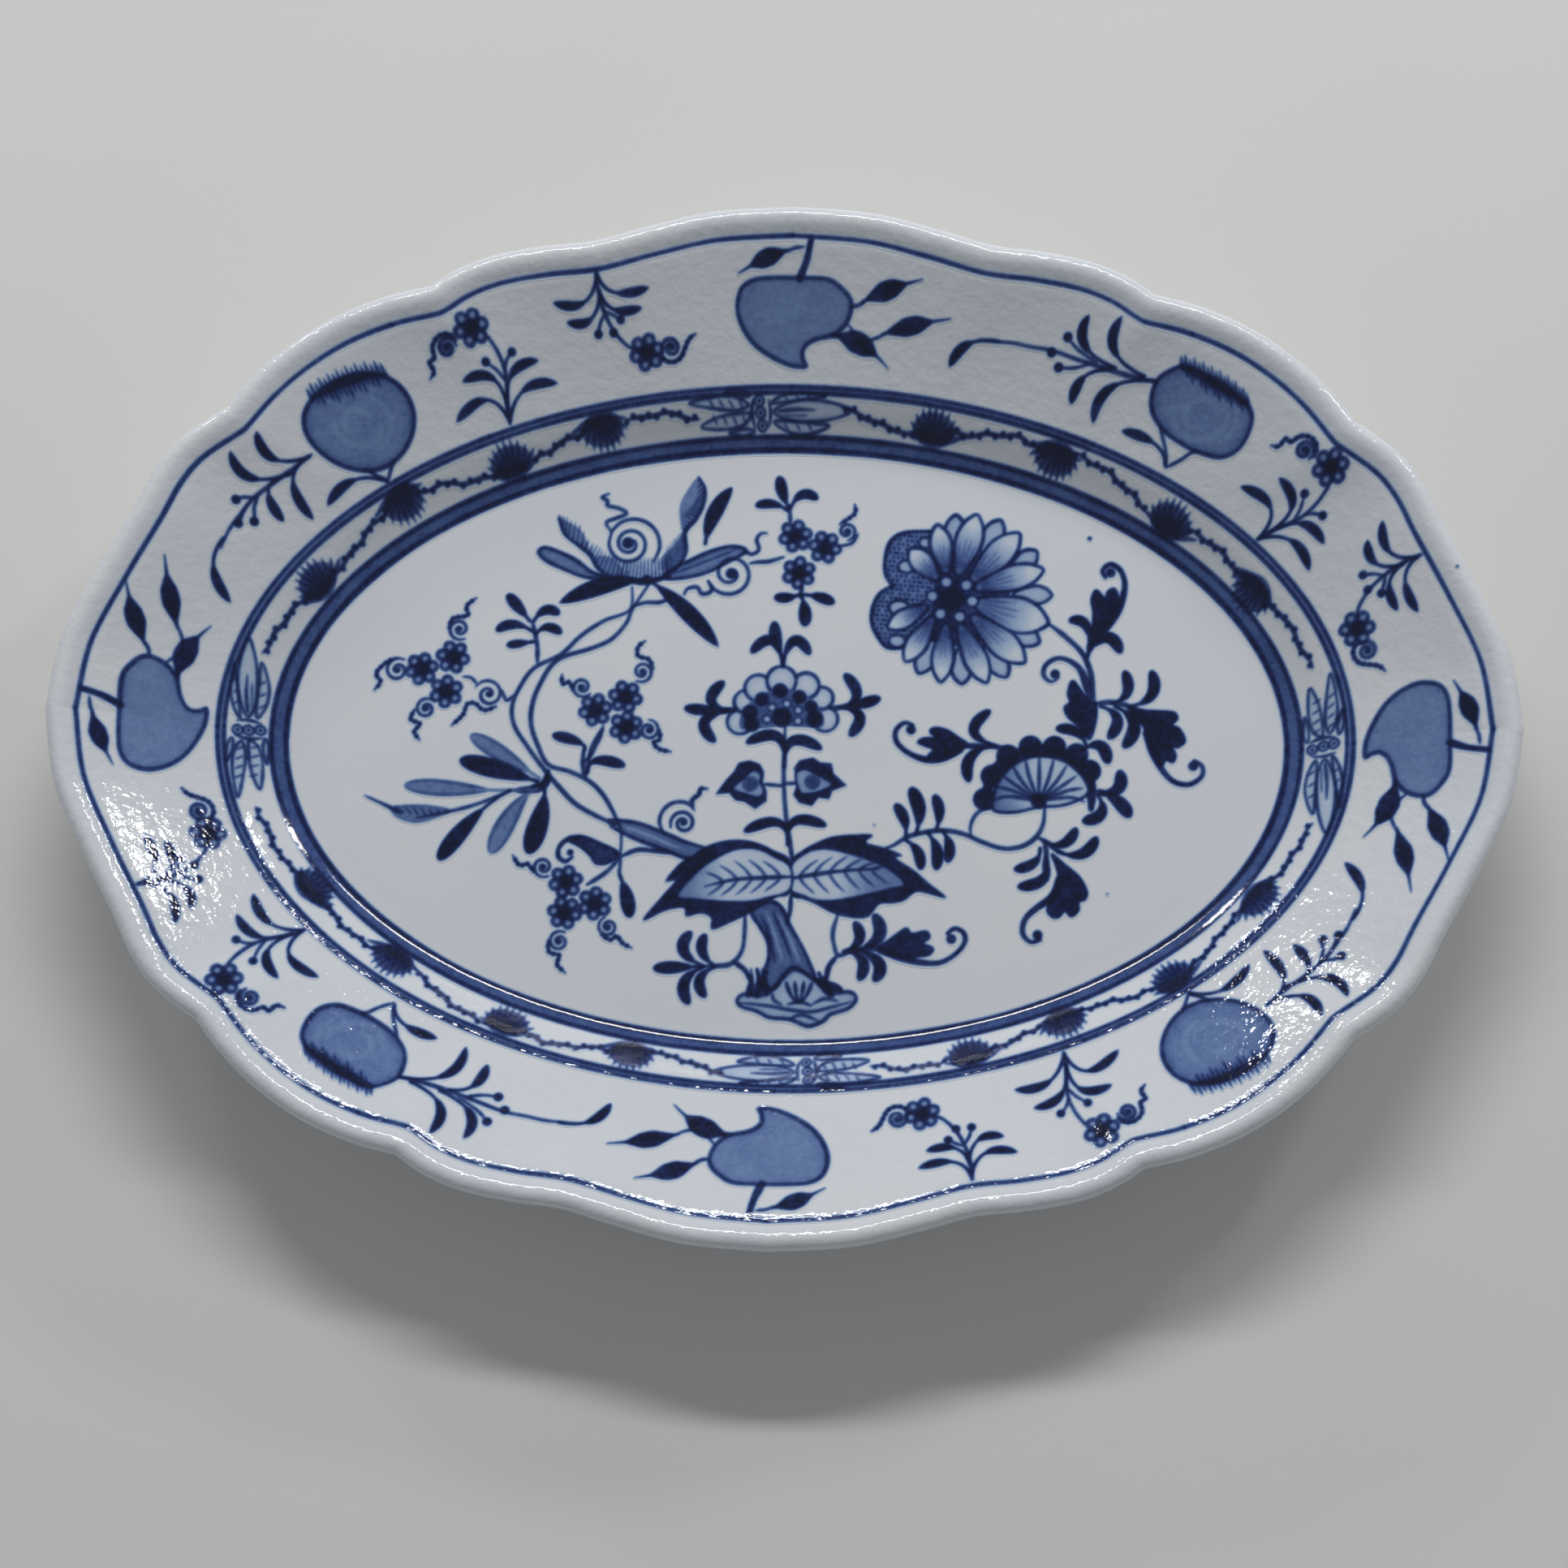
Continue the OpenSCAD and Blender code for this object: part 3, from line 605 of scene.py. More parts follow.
def blurred(field, size):
    """A Gaussian blur of the grid, size in millimetres."""
    reach = int(math.ceil(2.6 * size / GRID))
    steps = np.arange(-reach, reach + 1)
    weights = np.exp(-0.5 * (steps * GRID / size) ** 2)
    weights = weights / weights.sum()
    for axis in (0, 1):
        field = sum(w * np.roll(field, int(s), axis) for s, w in zip(steps, weights)).astype(np.float32)
    return field


# ---- Painting helpers ----

art = Painting()

PEN = 0.84                # the tone of a firm pen line
LEAF_SHARE = 0.9          # a brush-pressed leaf comes out a little slimmer than its listed width


def leaves(*marks):
    """Brush-pressed leaves, each (path from base to tip, width) and, if it bows, the bend."""
    for path, width, *bend in marks:
        art.comma(path, width * LEAF_SHARE, *bend)


def arc_leaves(width, *arcs):
    """Leaves on stalks of their own, each one smooth arc: where it leaves the stem, its shoulder, its tip."""
    for arc in arcs:
        art.comma(arc, width, neck=0.4, tip=0.75)


def outlined(ring, wash, width, tone, **how):
    """A filled shape and a pen line round it. The rest says how the wash is laid."""
    art.shape(ring, wash, **how)
    art.contour(ring, width, tone)


def stems(width, *paths):
    for path in paths:
        art.line(path, width, PEN)


def buds(radius, *places):
    for place in places:
        art.dot(place, radius)


def curl_with_tail(middle, r_out, start, sweep, tail, width=0.95):
    """A spiral tendril with a dot for its eye, and its wavy, beaded tail from the outer end."""
    art.curl(middle, r_out, 0.6, start, sweep, width)
    art.dot(middle, 0.75, 0.85)
    art.line(tail, width * 0.95, PEN, ends=(0.8, 0.6))
    for bead in evenly(catmull(tail, 8), 1.5)[1:-1]:
        art.dot(bead, 0.6, PEN)


def comb(edge, reach, count, width=0.55, tone=0.66):
    """Fine strokes that run off an edge line, reaching by turns along it as far as each (x, y) in reach."""
    spine = evenly(catmull(edge, 8), 0.4)
    at = np.linspace(0, 1, len(spine))
    share = np.linspace(0, 1, len(reach))
    for t in np.linspace(0.03, 0.97, count):
        root = np.array([np.interp(t, at, spine[:, axis]) for axis in (0, 1)])
        off = np.array([np.interp(t, share, [r[axis] for r in reach]) for axis in (0, 1)])
        art.line([root, root + off * 0.5, root + off], [width, width * 0.8, width * 0.5], tone, (0.9, 0.3))


def half_turns(p):
    """A place and the one across the middle from it."""
    return [p, (-p[0], -p[1])]


# ---- The rim's groove line and the border of the cavetto ----

SECTORS = 8


def polar(angle, radius):
    return radius * math.cos(angle), radius * math.sin(angle)


def ring_run(start, stop, radius_at, count=40):
    return [polar(a, float(radius_at(a))) for a in np.linspace(start, stop, count)]


def border_at(share):
    """The radius of a line round the cavetto. Its share is 0 at the well's edge and 1 at the border's."""
    def radius(angle):
        outer = oval_radius(angle, border_a, border_b)
        return outer - (1 - share) * (outer - oval_radius(angle, well_a, well_b))
    return radius


def groove_at(inset):
    return lambda angle: ring_radius(angle % (2 * math.pi), groove_table) - inset


# Each band of the border: its node, its wash, and its two lines as (share, widths, tone).
BANDS = [
    ("border_outer_lines", 0.42, [(0.985, [1.05, 0.9, 1.1], 0.84), (0.895, [0.9, 1.1, 0.9], 0.86)]),
    ("border_inner_lines", 0.6, [(0.29, [1.2, 1.0, 1.25], 0.88), (0.09, [1.35, 1.55, 1.35], 0.9)]),
]


def paint_rings():
    for i in range(SECTORS):
        start, stop = 2 * math.pi * i / SECTORS, 2 * math.pi * (i + 1) / SECTORS
        art.begin(f"rim_line_{i + 1}", ["rim_line"])
        art.line(ring_run(start, stop, groove_at(0.1), 70), [1.1, 0.95, 1.2, 1.0, 1.1], PEN, (1, 1), 2)
        for node, wash, lines in BANDS:
            outer, inner = (border_at(share) for share, _, _ in lines)
            art.begin(f"{node}_{i + 1}", [node])
            band = ring_run(start, stop, outer) + ring_run(stop, start, inner)
            art.shape(band, wash, round_off=False, pool=0)
            for edge, (_, widths, tone) in zip((outer, inner), lines):
                art.line(ring_run(start, stop, edge), widths, tone, (1, 1), 2)


# Middle of each shell in one half of the border, and the way its spikes point (1 out, -1 in).
SHELLS = [
    ((117, 40), -1), ((96, 58), 1), ((67, 74), -1), ((36, 81), 1),
    ((-48, 80), -1), ((-71, 71), 1), ((-98, 60), -1), ((-119, 39), 1),
]
INWARD_SHIFT = 0.8        # a shell that points inwards sits this much nearer to the well


def paint_shell(at, way):
    """A small fan shell: a dark heart, and ribs that run out past it as uneven spikes."""
    slope = math.degrees(math.atan2(at[1] / border_b ** 2, at[0] / border_a ** 2))
    turn = slope - 90 if way > 0 else slope + 90
    c, s = math.cos(math.radians(turn)), math.sin(math.radians(turn))

    def place(u, v):
        v = v if way > 0 else v + INWARD_SHIFT
        return at[0] + u * c - v * s, at[1] + u * s + v * c

    heart = [(-5.2, -1.6), (-5.0, 0.8), (-3.4, 2.6), (0, 3.4), (3.2, 2.7), (5.2, 0.8), (4.8, -1.6),
             (3.0, -3.4), (0, -4.3), (-3.2, -3.5)]
    art.shape([place(u, v) for u, v in heart], 0.62, pool=0)
    tips = [(-6.4, -1.6), (-6.0, 0.5), (-5.0, 2.3), (-3.5, 3.6), (-1.9, 4.5), (-0.2, 4.7), (1.6, 4.5),
            (3.3, 3.7), (4.9, 2.3), (6.6, 0.9), (8.2, -0.6)]
    for u, v in tips:
        art.line([place(u * 0.4, -2.6), place(u * 0.75, v * 0.5 - 1.0), place(u, v)], [1.3, 1.2, 0.6], 0.74,
                 (1, 0.5))
    art.shape([place(u * 0.5, v * 0.4 - 1.9) for u, v in heart], 0.6, pool=0)


def paint_shells():
    for i, (at, way) in enumerate(SHELLS):
        for half, place in enumerate(half_turns(at)):
            art.begin(f"border_shell_{2 * i + half + 1}", ["border_shells"])
            paint_shell(place, way)


# The thorny garland between the shells and the rosettes, in one half of the border.
GARLANDS = [
    [(15, 85), (18, 84), (21, 82.5), (25, 81.5), (29, 79.8)],
    [(41, 80), (46, 79.3), (55, 79), (61, 76.8)],
    [(73, 73.5), (79, 70.4), (84, 66.4), (89, 61.5)],
    [(102, 54.5), (107, 51.2), (111, 47), (114, 43.5)],
    [(121, 35.5), (124.5, 33), (127, 28.5), (130.5, 22)],
    [(-26, 83), (-33, 83.6), (-40, 82)],
    [(-54, 78), (-59, 75.5), (-64, 72.5)],
    [(-75, 68), (-80.7, 65.7), (-86, 65), (-92, 62.8)],
    [(-103, 56), (-107, 51.4), (-110.5, 46.5), (-113.5, 42.8)],
    [(-122, 34.5), (-126, 29.5), (-130.5, 22)],
]


RUN_ON = 2.4              # how far a garland runs on past each end of its path
BEND_LENGTH = 4.5         # the length of each of its bends


def paint_garland(path):
    """A wavy stem, with beads and short thorns to either side of it by turns."""
    path = np.array(path, float)
    first, last = path[0] - path[1], path[-1] - path[-2]
    path = np.vstack([path[0] + RUN_ON * first / np.hypot(*first), path,
                      path[-1] + RUN_ON * last / np.hypot(*last)])
    spine = evenly(catmull(path, 8), PEN_STEP)
    run = np.gradient(spine, axis=0)
    side = np.column_stack([-run[:, 1], run[:, 0]]) / np.hypot(run[:, 0], run[:, 1])[:, None]
    bends = max(1, round(len(spine) * PEN_STEP / BEND_LENGTH))
    reach = np.linspace(0, math.pi * bends, len(spine))
    wave = spine + side * (0.3 * np.sin(reach))[:, None]
    art.line(wave[::2], 1.0, 0.86)
    for j, i in enumerate(range(2, len(wave) - 1, 4)):
        way = 1 if j % 2 else -1
        art.dot(wave[i] + side[i] * way * 0.4, 0.66, 0.88)
        tip = wave[i] + side[i] * way * 0.95 + run[i] * 0.7
        art.line([wave[i], tip], [0.9, 0.6], 0.8)


def paint_garlands():
    for i, path in enumerate(GARLANDS):
        for half, way in enumerate((1, -1)):
            art.begin(f"border_garland_{2 * i + half + 1}", ["border_garland"])
            paint_garland([(way * x, way * y) for x, y in path])


HALF_TURN = (0, 0, 0, 0, 180)
ROSETTE_POSES = [
    ("top", None), ("bottom", HALF_TURN),
    ("left", (-8, 84.7, -134.7, 0, 90)), ("right", (-8, 84.7, 134.7, 0, 270)),
]


def paint_rosette():
    """An open bloom seen from the side: three ringed seeds between long pointed petals."""
    for x, y in ((-8.3, 87), (-8, 84.5), (-7.5, 81.8)):
        art.shape(oval_points((x, y), 1.15, 1.15, 6), 0.2)
        art.contour(oval_points((x, y), 1.2, 1.2, 6), 0.6)
        art.dot((x, y), 0.42)
    petals = [
        [(-4.6, 84.8), (-1.5, 86.5), (4, 87.4), (10.5, 86.7), (15, 85), (10, 83.3), (4, 82.8), (-1.5, 83.2)],
        [(-5.2, 86.6), (-2, 88.4), (3, 89), (8.5, 88.2), (4, 87.6), (-1.5, 86.9)],
        [(-4.6, 82.6), (-1, 80.6), (4, 80.1), (9.5, 81.9), (4, 82.5), (-1.5, 82.9)],
        [(-11, 86), (-14, 87.6), (-19, 87.7), (-26, 86), (-19, 85), (-14, 84.9)],
        [(-10.6, 84.2), (-14, 84.2), (-19, 83.2), (-23, 81), (-16.5, 80.8), (-12, 82)],
        [(-10.5, 88.2), (-12.5, 89.2), (-17, 89.2), (-13, 87.9)],
        [(-9.5, 80.6), (-11.5, 79.6), (-16, 79.9), (-12, 81)],
    ]
    for petal in petals:
        outlined(petal, 0.13, 0.7, 0.8, pool=0.5)
    art.line([(-3.4, 84.9), (1, 85.3), (6, 85.2)], [1.1, 0.8, 0.5], 0.8)
    art.line([(-2.4, 84.0), (1, 84.0), (4, 84.1)], 0.5, 0.6)
    for x in (-21, -18.5, -16, -13.5):
        art.line([(x, 87), (x + 1.2, 85.4)], 0.5, 0.7)
        art.line([(x + 1, 83.7), (x + 2, 81.8)], 0.5, 0.7)
    for x in (-2, 1, 4):
        art.line([(x, 82.4), (x + 1, 80.9)], 0.5, 0.7)
        art.line([(x, 88.3), (x + 1, 87.2)], 0.5, 0.65)
    art.line([(-9.8, 87.5), (-10.2, 84.5), (-9.4, 81.2)], [0.6, 1.1, 0.6], 0.85)
    art.line([(-6, 87.4), (-5.4, 84.6), (-5.8, 81.6)], [0.5, 0.9, 0.5], 0.8)


def paint_rosettes():
    for name, pose in ROSETTE_POSES:
        art.begin(f"border_rosette_{name}", ["border_rosettes"], pose)
        paint_rosette()


# ---- The rim's fruits and sprigs ----

PEACH_AT = (0.5, 107)
PEACH_POSES = [("top", (0.5, 107), 0), ("left", (-156.5, 1), 90), ("bottom", (-0.5, -107), 180),
               ("right", (156.5, -1), 270)]


def paint_peach():
    ring = [(2.2, 115.3), (8.8, 115), (12.2, 113.1), (14.5, 110.6), (14.8, 108.1), (13.4, 104.8),
            (10.5, 102.4), (6.3, 101.4), (3.8, 100.2), (2.6, 98.5), (2.8, 96.4), (3.4, 95),
            (-0.3, 95.2), (-4.5, 96.8), (-8.7, 99.3), (-11.6, 102.3), (-13.5, 106), (-13.9, 109.3),
            (-12.8, 112.7), (-9.9, 114.6), (-5.3, 115.2)]
    outlined(ring, 0.44, 1.05, 0.8, pool=0.25)


def paint_peach_leaves():
    art.line([(1.8, 115.2), (3.6, 119.5), (4.7, 124.4)], [2.0, 1.6, 1.4], 0.93, (1, 1))
    art.line([(2.9, 122.3), (0.5, 122), (-2, 121)], 0.8, PEN)
    art.dart((-1, 121.6), (-13.7, 116), 4.2, bend=-0.5)
    art.line([(14.8, 109), (16.4, 109), (18.4, 110)], 0.95, PEN)
    art.dart((17.6, 109.9), (32.8, 114.6), 4.6, bend=0.5)
    art.line([(14, 104.8), (17, 101.4), (20, 101.2), (23.6, 102.5)], 0.8, PEN)
    art.dart((22.6, 102.4), (40, 105.6), 4.4, bend=0.4)
    art.line([(9.6, 102), (12.4, 101.8)], 0.8, PEN)
    art.dart((10.2, 102.5), (24.3, 94.5), 5.2, bend=1.5)


def paint_peaches():
    for name, place, turn in PEACH_POSES:
        pose = (*PEACH_AT, *place, turn)
        art.begin(f"rim_peach_{name}", ["rim_peaches"], pose)
        paint_peach()
        art.begin(f"rim_peach_leaves_{name}", ["rim_peach_leaves"], pose)
        paint_peach_leaves()


POMEGRANATE_RIGHT = [
    (92.1, 90.4), (95.7, 92.5), (99.3, 93.2), (102.9, 91.4), (106.4, 88.9), (110, 86.8), (113.6, 84.3),
    (115.4, 81.4), (115.4, 78.6), (113.9, 75), (111.4, 72.5), (107.9, 71.6), (104.3, 72.5), (100, 74.3),
    (95, 77.5), (92.1, 80.7), (90.7, 83.6), (90.7, 87.1),
]
POMEGRANATE_LEFT = [
    (-120.5, 80.5), (-117, 84.3), (-112.5, 87), (-107.5, 88.6), (-102, 88.3), (-97.5, 85.5), (-95.1, 80.8),
    (-95.4, 75.5), (-98, 70.6), (-102, 67.3), (-107, 66), (-112.5, 66.6), (-117.5, 69), (-121, 72.6),
    (-121.9, 76.8),
]


def paint_pomegranate(ring, middle, crown, out):
    """A round fruit with swirling strokes, a dark crown along its upper side and hairs beyond it."""
    outlined(ring, 0.56, 1.05, 0.82, pool=0.5)
    reach = np.hypot(*np.subtract(ring[0], middle))
    for share, first, sweep, width in ((0.3, 20, 230, 1.5), (0.5, 170, 190, 1.8), (0.66, 300, 130, 1.5)):
        r = reach * share
        arc = [(middle[0] + r * math.cos(a), middle[1] + 0.85 * r * math.sin(a))
               for a in np.radians(np.linspace(first, first + sweep, 8))]
        art.line(arc, width, -0.13, (0.2, 0.2))
    art.spear(crown[0], crown[1], 2.4, bend=crown[2], tone=0.8)
    base, stop = np.array(crown[0]), np.array(crown[1])
    side = np.array([-(stop - base)[1], (stop - base)[0]]) / np.hypot(*(stop - base))
    for i, t in enumerate(np.linspace(0.03, 0.97, 17)):
        edge = base + (stop - base) * t + side * (crown[2] * math.sin(math.pi * t) + 0.8)
        depth = 0.5 + 0.9 * math.sin(math.pi * t) + 0.25 * (i % 3)
        art.line([edge - depth * np.array(out), edge, edge + np.array(out) * (0.95 if i % 2 else 0.7)],
                 [0.7, 1.1, 0.5], 0.72)


def paint_right_pomegranate():
    paint_pomegranate(POMEGRANATE_RIGHT, (103, 81.8), ((97, 93), (114.5, 83), 1.2), (-0.4, 2.6))
    stems(0.85, [(94.5, 70), (94.3, 74), (92.8, 79.5)], [(94.5, 70), (98, 71.5), (101, 73.2), (104, 73)])
    arc_leaves(2.4, [(94.3, 70.6), (91.6, 75.6), (83.4, 79)])


def paint_left_pomegranate():
    paint_pomegranate(POMEGRANATE_LEFT, (-108.7, 77), ((-120.5, 81), (-101.5, 89), 1.6), (-1.2, 2.3))
    stems(0.85, [(-101.3, 64.4), (-100.6, 67.2), (-99.6, 69.4)], [(-101.3, 64.4), (-104, 65), (-107, 66.5)])
    arc_leaves(2.4, [(-101.6, 64), (-110, 63.4), (-116.2, 57)])


def paint_right_sprig():
    art.line([(91.6, 90), (85, 91.4), (78, 93.6), (72, 95.7), (65.5, 98), (60, 99), (55, 100), (47, 100.5)],
             [1.4, 1.2, 1.0, 0.85, 0.8])
    stems(0.75, [(77, 94.6), (72.1, 97.9), (69.6, 100.6)], [(75.4, 94.6), (71, 93.8), (67.5, 94.1)])
    arc_leaves(2.5, [(88.6, 91.2), (81, 97.4), (82.8, 104.8)], [(81.4, 93.2), (73.6, 99), (74.6, 105.6)],
               [(79.3, 92.9), (73.4, 91.4), (70.5, 85.6)], [(91.4, 90), (80.2, 88.8), (76.1, 81)],
               [(52, 100.3), (44.4, 99.8), (39.8, 94.8)])
    buds(1.15, (69.4, 100.9), (65.4, 97.6), (67.2, 94.1))


def paint_left_sprig():
    art.line([(-120, 68.5), (-124, 65), (-128, 62), (-134, 57), (-137, 53), (-140, 48.5), (-141.9, 43.8)],
             [1.0, 0.9, 0.8])
    arc_leaves(2.5, [(-121.5, 67.4), (-129.6, 66.6), (-133.2, 72.2)],
               [(-125, 63.5), (-135, 61.6), (-139.6, 67)], [(-127.6, 62.4), (-130.6, 58.4), (-127, 52.2)],
               [(-120.6, 68), (-124.6, 61.6), (-119.8, 53.4)],
               [(-141.2, 46.4), (-143.6, 39), (-139.6, 31.2)])
    stems(0.8, [(-134, 57), (-136.4, 56.8), (-138.3, 56.2)], [(-133, 57.8), (-134, 54.6), (-133.8, 51.6)],
          [(-135.6, 55), (-136.8, 53), (-137.4, 50.8)])
    buds(1.1, (-138.4, 56), (-134, 51.3), (-137.8, 50.4))


def paint_pomegranates():
    for name, pose in (("upper", None), ("lower", HALF_TURN)):
        for side, fruit, sprig in (("right", paint_right_pomegranate, paint_right_sprig),
                                   ("left", paint_left_pomegranate, paint_left_sprig)):
            art.begin(f"rim_pomegranate_{name}_{side}", ["rim_pomegranates"], pose)
            fruit()
            art.begin(f"rim_pomegranate_sprig_{name}_{side}", ["rim_pomegranate_sprigs"], pose)
            sprig()


HANGING_AT = (-49.5, 115.8)
HANGING_POSES = [("top", (-49.5, 115.8), 0), ("right", (158, 44.5), -79), ("bottom", (49.5, -114.5), 180),
                 ("left", (-158, -44.5), 101)]


def paint_hanging_sprig():
    art.line([(-49.3, 115), (-48.9, 111.5), (-47.6, 106.8), (-45.3, 102.3), (-42, 98.9), (-39.5, 97.8)],
             [1.2, 1.0, 0.9, 0.8], PEN, (0.8, 0.9))
    art.blossom((-36.6, 97.3), 4.3, 20)
    stems(0.75, [(-46.9, 106), (-45.2, 105.4), (-43.6, 104.6)],
          [(-47.2, 105.6), (-48.3, 103.4), (-48.7, 101.4)])
    arc_leaves(2.2, [(-49, 114.2), (-44.6, 110.4), (-36.2, 112)],
               [(-48.5, 110.6), (-44.8, 106.6), (-38, 107.4)],
               [(-49.2, 113.4), (-52.6, 107.8), (-60, 107.6)],
               [(-48.4, 109.4), (-51, 104), (-56.6, 103.4)])
    buds(1.05, (-43.2, 104.4), (-48.8, 100.9), (-45, 101.4))
    curl_with_tail((-30.6, 98.6), 2.4, 215, -560, [(-33.2, 97.2), (-32, 95.6), (-29.8, 95.4), (-28, 96.6),
                                                  (-27, 98.8), (-26, 100.8), (-24.4, 102)], 1.0)


RISING_AT = (117.5, 51.8)
RISING_POSES = [("right", (117.5, 51.8), 0), ("top", (-71, 79.5), 73.2), ("left", (-117.5, -51.8), 180),
                ("bottom", (71, -79.5), 253.2)]


def paint_rising_sprig():
    art.line([(117.5, 51.8), (121, 53.6), (124.3, 54.6), (128.6, 56.4), (132.1, 59.3), (134.6, 62.6)],
             [1.0, 0.9, 0.85], PEN, (0.8, 0.9))
    art.blossom((135.1, 67.1), 4.4, 10)
    stems(0.75, [(126.4, 55.5), (127.9, 58), (128.7, 60.6)], [(128.8, 56.6), (131, 56.8), (133, 56.3)])
    arc_leaves(2.4, [(117.9, 52), (120.6, 59), (113.2, 64.4)], [(120.4, 53.2), (125.9, 59), (122.6, 65.6)],
               [(120.6, 53.2), (128.6, 54.6), (133.8, 49.4)], [(118, 52), (126.2, 50.6), (130.4, 43.4)])
    buds(1.05, (128.9, 61.5), (133.4, 56.1))
    curl_with_tail((128.6, 71.4), 2.4, -60, 560,
                   [(131, 69.8), (131.6, 72), (130.2, 74.2), (127.6, 74.9), (125.4, 73.8), (123.8, 74.6),
                    (122.4, 73), (120.4, 73.4)], 1.0)


def paint_sprigs():
    for name, place, turn in HANGING_POSES:
        art.begin(f"rim_hanging_sprig_{name}", ["rim_hanging_sprigs"], (*HANGING_AT, *place, turn))
        paint_hanging_sprig()
    for name, place, turn in RISING_POSES:
        art.begin(f"rim_rising_sprig_{name}", ["rim_rising_sprigs"], (*RISING_AT, *place, turn))
        paint_rising_sprig()


# ---- The well: the left branch and its flowers ----

def paint_left_branch():
    art.begin("left_branch_stems", ["left_branch"])
    art.line([(-35, 41.4), (-39.3, 34.3), (-40.7, 30.7), (-44.3, 26.4), (-49.3, 23.9), (-57.9, 20.7),
              (-62.1, 14.3), (-63.9, 8.6), (-63.9, 3.6), (-62.1, -1.4), (-59.3, -6.4), (-53.6, -8.2),
              (-48.6, -10.7), (-45, -14.3), (-42.1, -19.3), (-40.4, -23.6), (-40.4, -29.3)], 1.1)
    art.line([(-39.6, 40), (-40, 34), (-46.4, 31.1), (-52.1, 27.1), (-57.1, 22.1), (-63.6, 18.6),
              (-67.1, 13.6), (-68.9, 8.6), (-68.2, 3.6), (-65, -1.4), (-60.7, -7.1), (-56.4, -12.1),
              (-52.1, -16.4), (-46.4, -19.6), (-42.1, -21.4)], [1.0, 1.1, 1.1, 1.2, 1.7])
    art.line([(-39.3, 35), (-36, 36), (-32.5, 36.1), (-29.4, 37.4)], 1.0)
    art.line([(-40.4, -29.7), (-43.6, -33.6), (-48.6, -37.1)], 1.0)
    stems(1.1, [(-50, -9.6), (-50.6, -5.5), (-50.4, -2.1)], [(-50, -5.4), (-48.6, -3.6), (-45.7, 3)])
    leaves(([(-50.4, -2.6), (-51.6, -0.6), (-58.2, 1.2)], 3.1),
           ([(-49.3, -8.2), (-47.1, -5.2), (-40.2, -6.4)], 3.1),
           ([(-40.4, -34.4), (-37.6, -44.8)], 4.0, 0.4))
    art.line([(-40.3, -30), (-40.6, -34.6)], 0.8)
    art.begin("left_branch_trunk", ["left_branch"])
    band = [(-43.4, -20.2), (-36.4, -21.1), (-29.3, -23.6), (-24.3, -25.7), (-18.8, -27.2), (-18.4, -30.2),
            (-23.6, -30), (-29.3, -27.9), (-37.1, -25), (-43, -22.2)]
    art.shape(band, 0.56)
    art.line(band[:5], 0.9, 0.88)
    art.line(band[5:], 0.9, 0.88)
    art.line([(-27, -28.6), (-33, -28), (-36.4, -28), (-40.2, -29.7)], 1.25, 0.88)
    art.line([(-40, -21.8), (-33, -24.4), (-26, -27.2)], 0.7, -0.4)
    art.line([(-29.6, -24), (-30.9, -20.6), (-29.8, -17.4), (-27.1, -15.6), (-24, -15.8), (-22.2, -17.6)],
             0.95)
    curl_with_tail((-24.9, -20.9), 3.3, 200, -560,
                   [(-22.6, -16.6), (-22.8, -14.8), (-21.2, -13.6), (-20.9, -12.1), (-19.1, -12)])
    art.begin("left_branch_scroll_leaf", ["left_branch"])
    leaf = [(-40.9, -28.9), (-45.6, -26.4), (-50.4, -24.6), (-53.9, -25.4), (-50.4, -27.4), (-47.9, -29.6),
            (-46.4, -31.6), (-43.4, -31.4)]
    outlined(leaf, 0.88, 0.6, 0.93, pool=0.1)
    art.line([(-50.4, -25.2), (-53.4, -25.4), (-55.6, -27.2), (-56, -29.8), (-54.2, -31.2), (-52.4, -30)],
             1.1, 0.92)
    art.dot((-53, -28.9), 0.8)


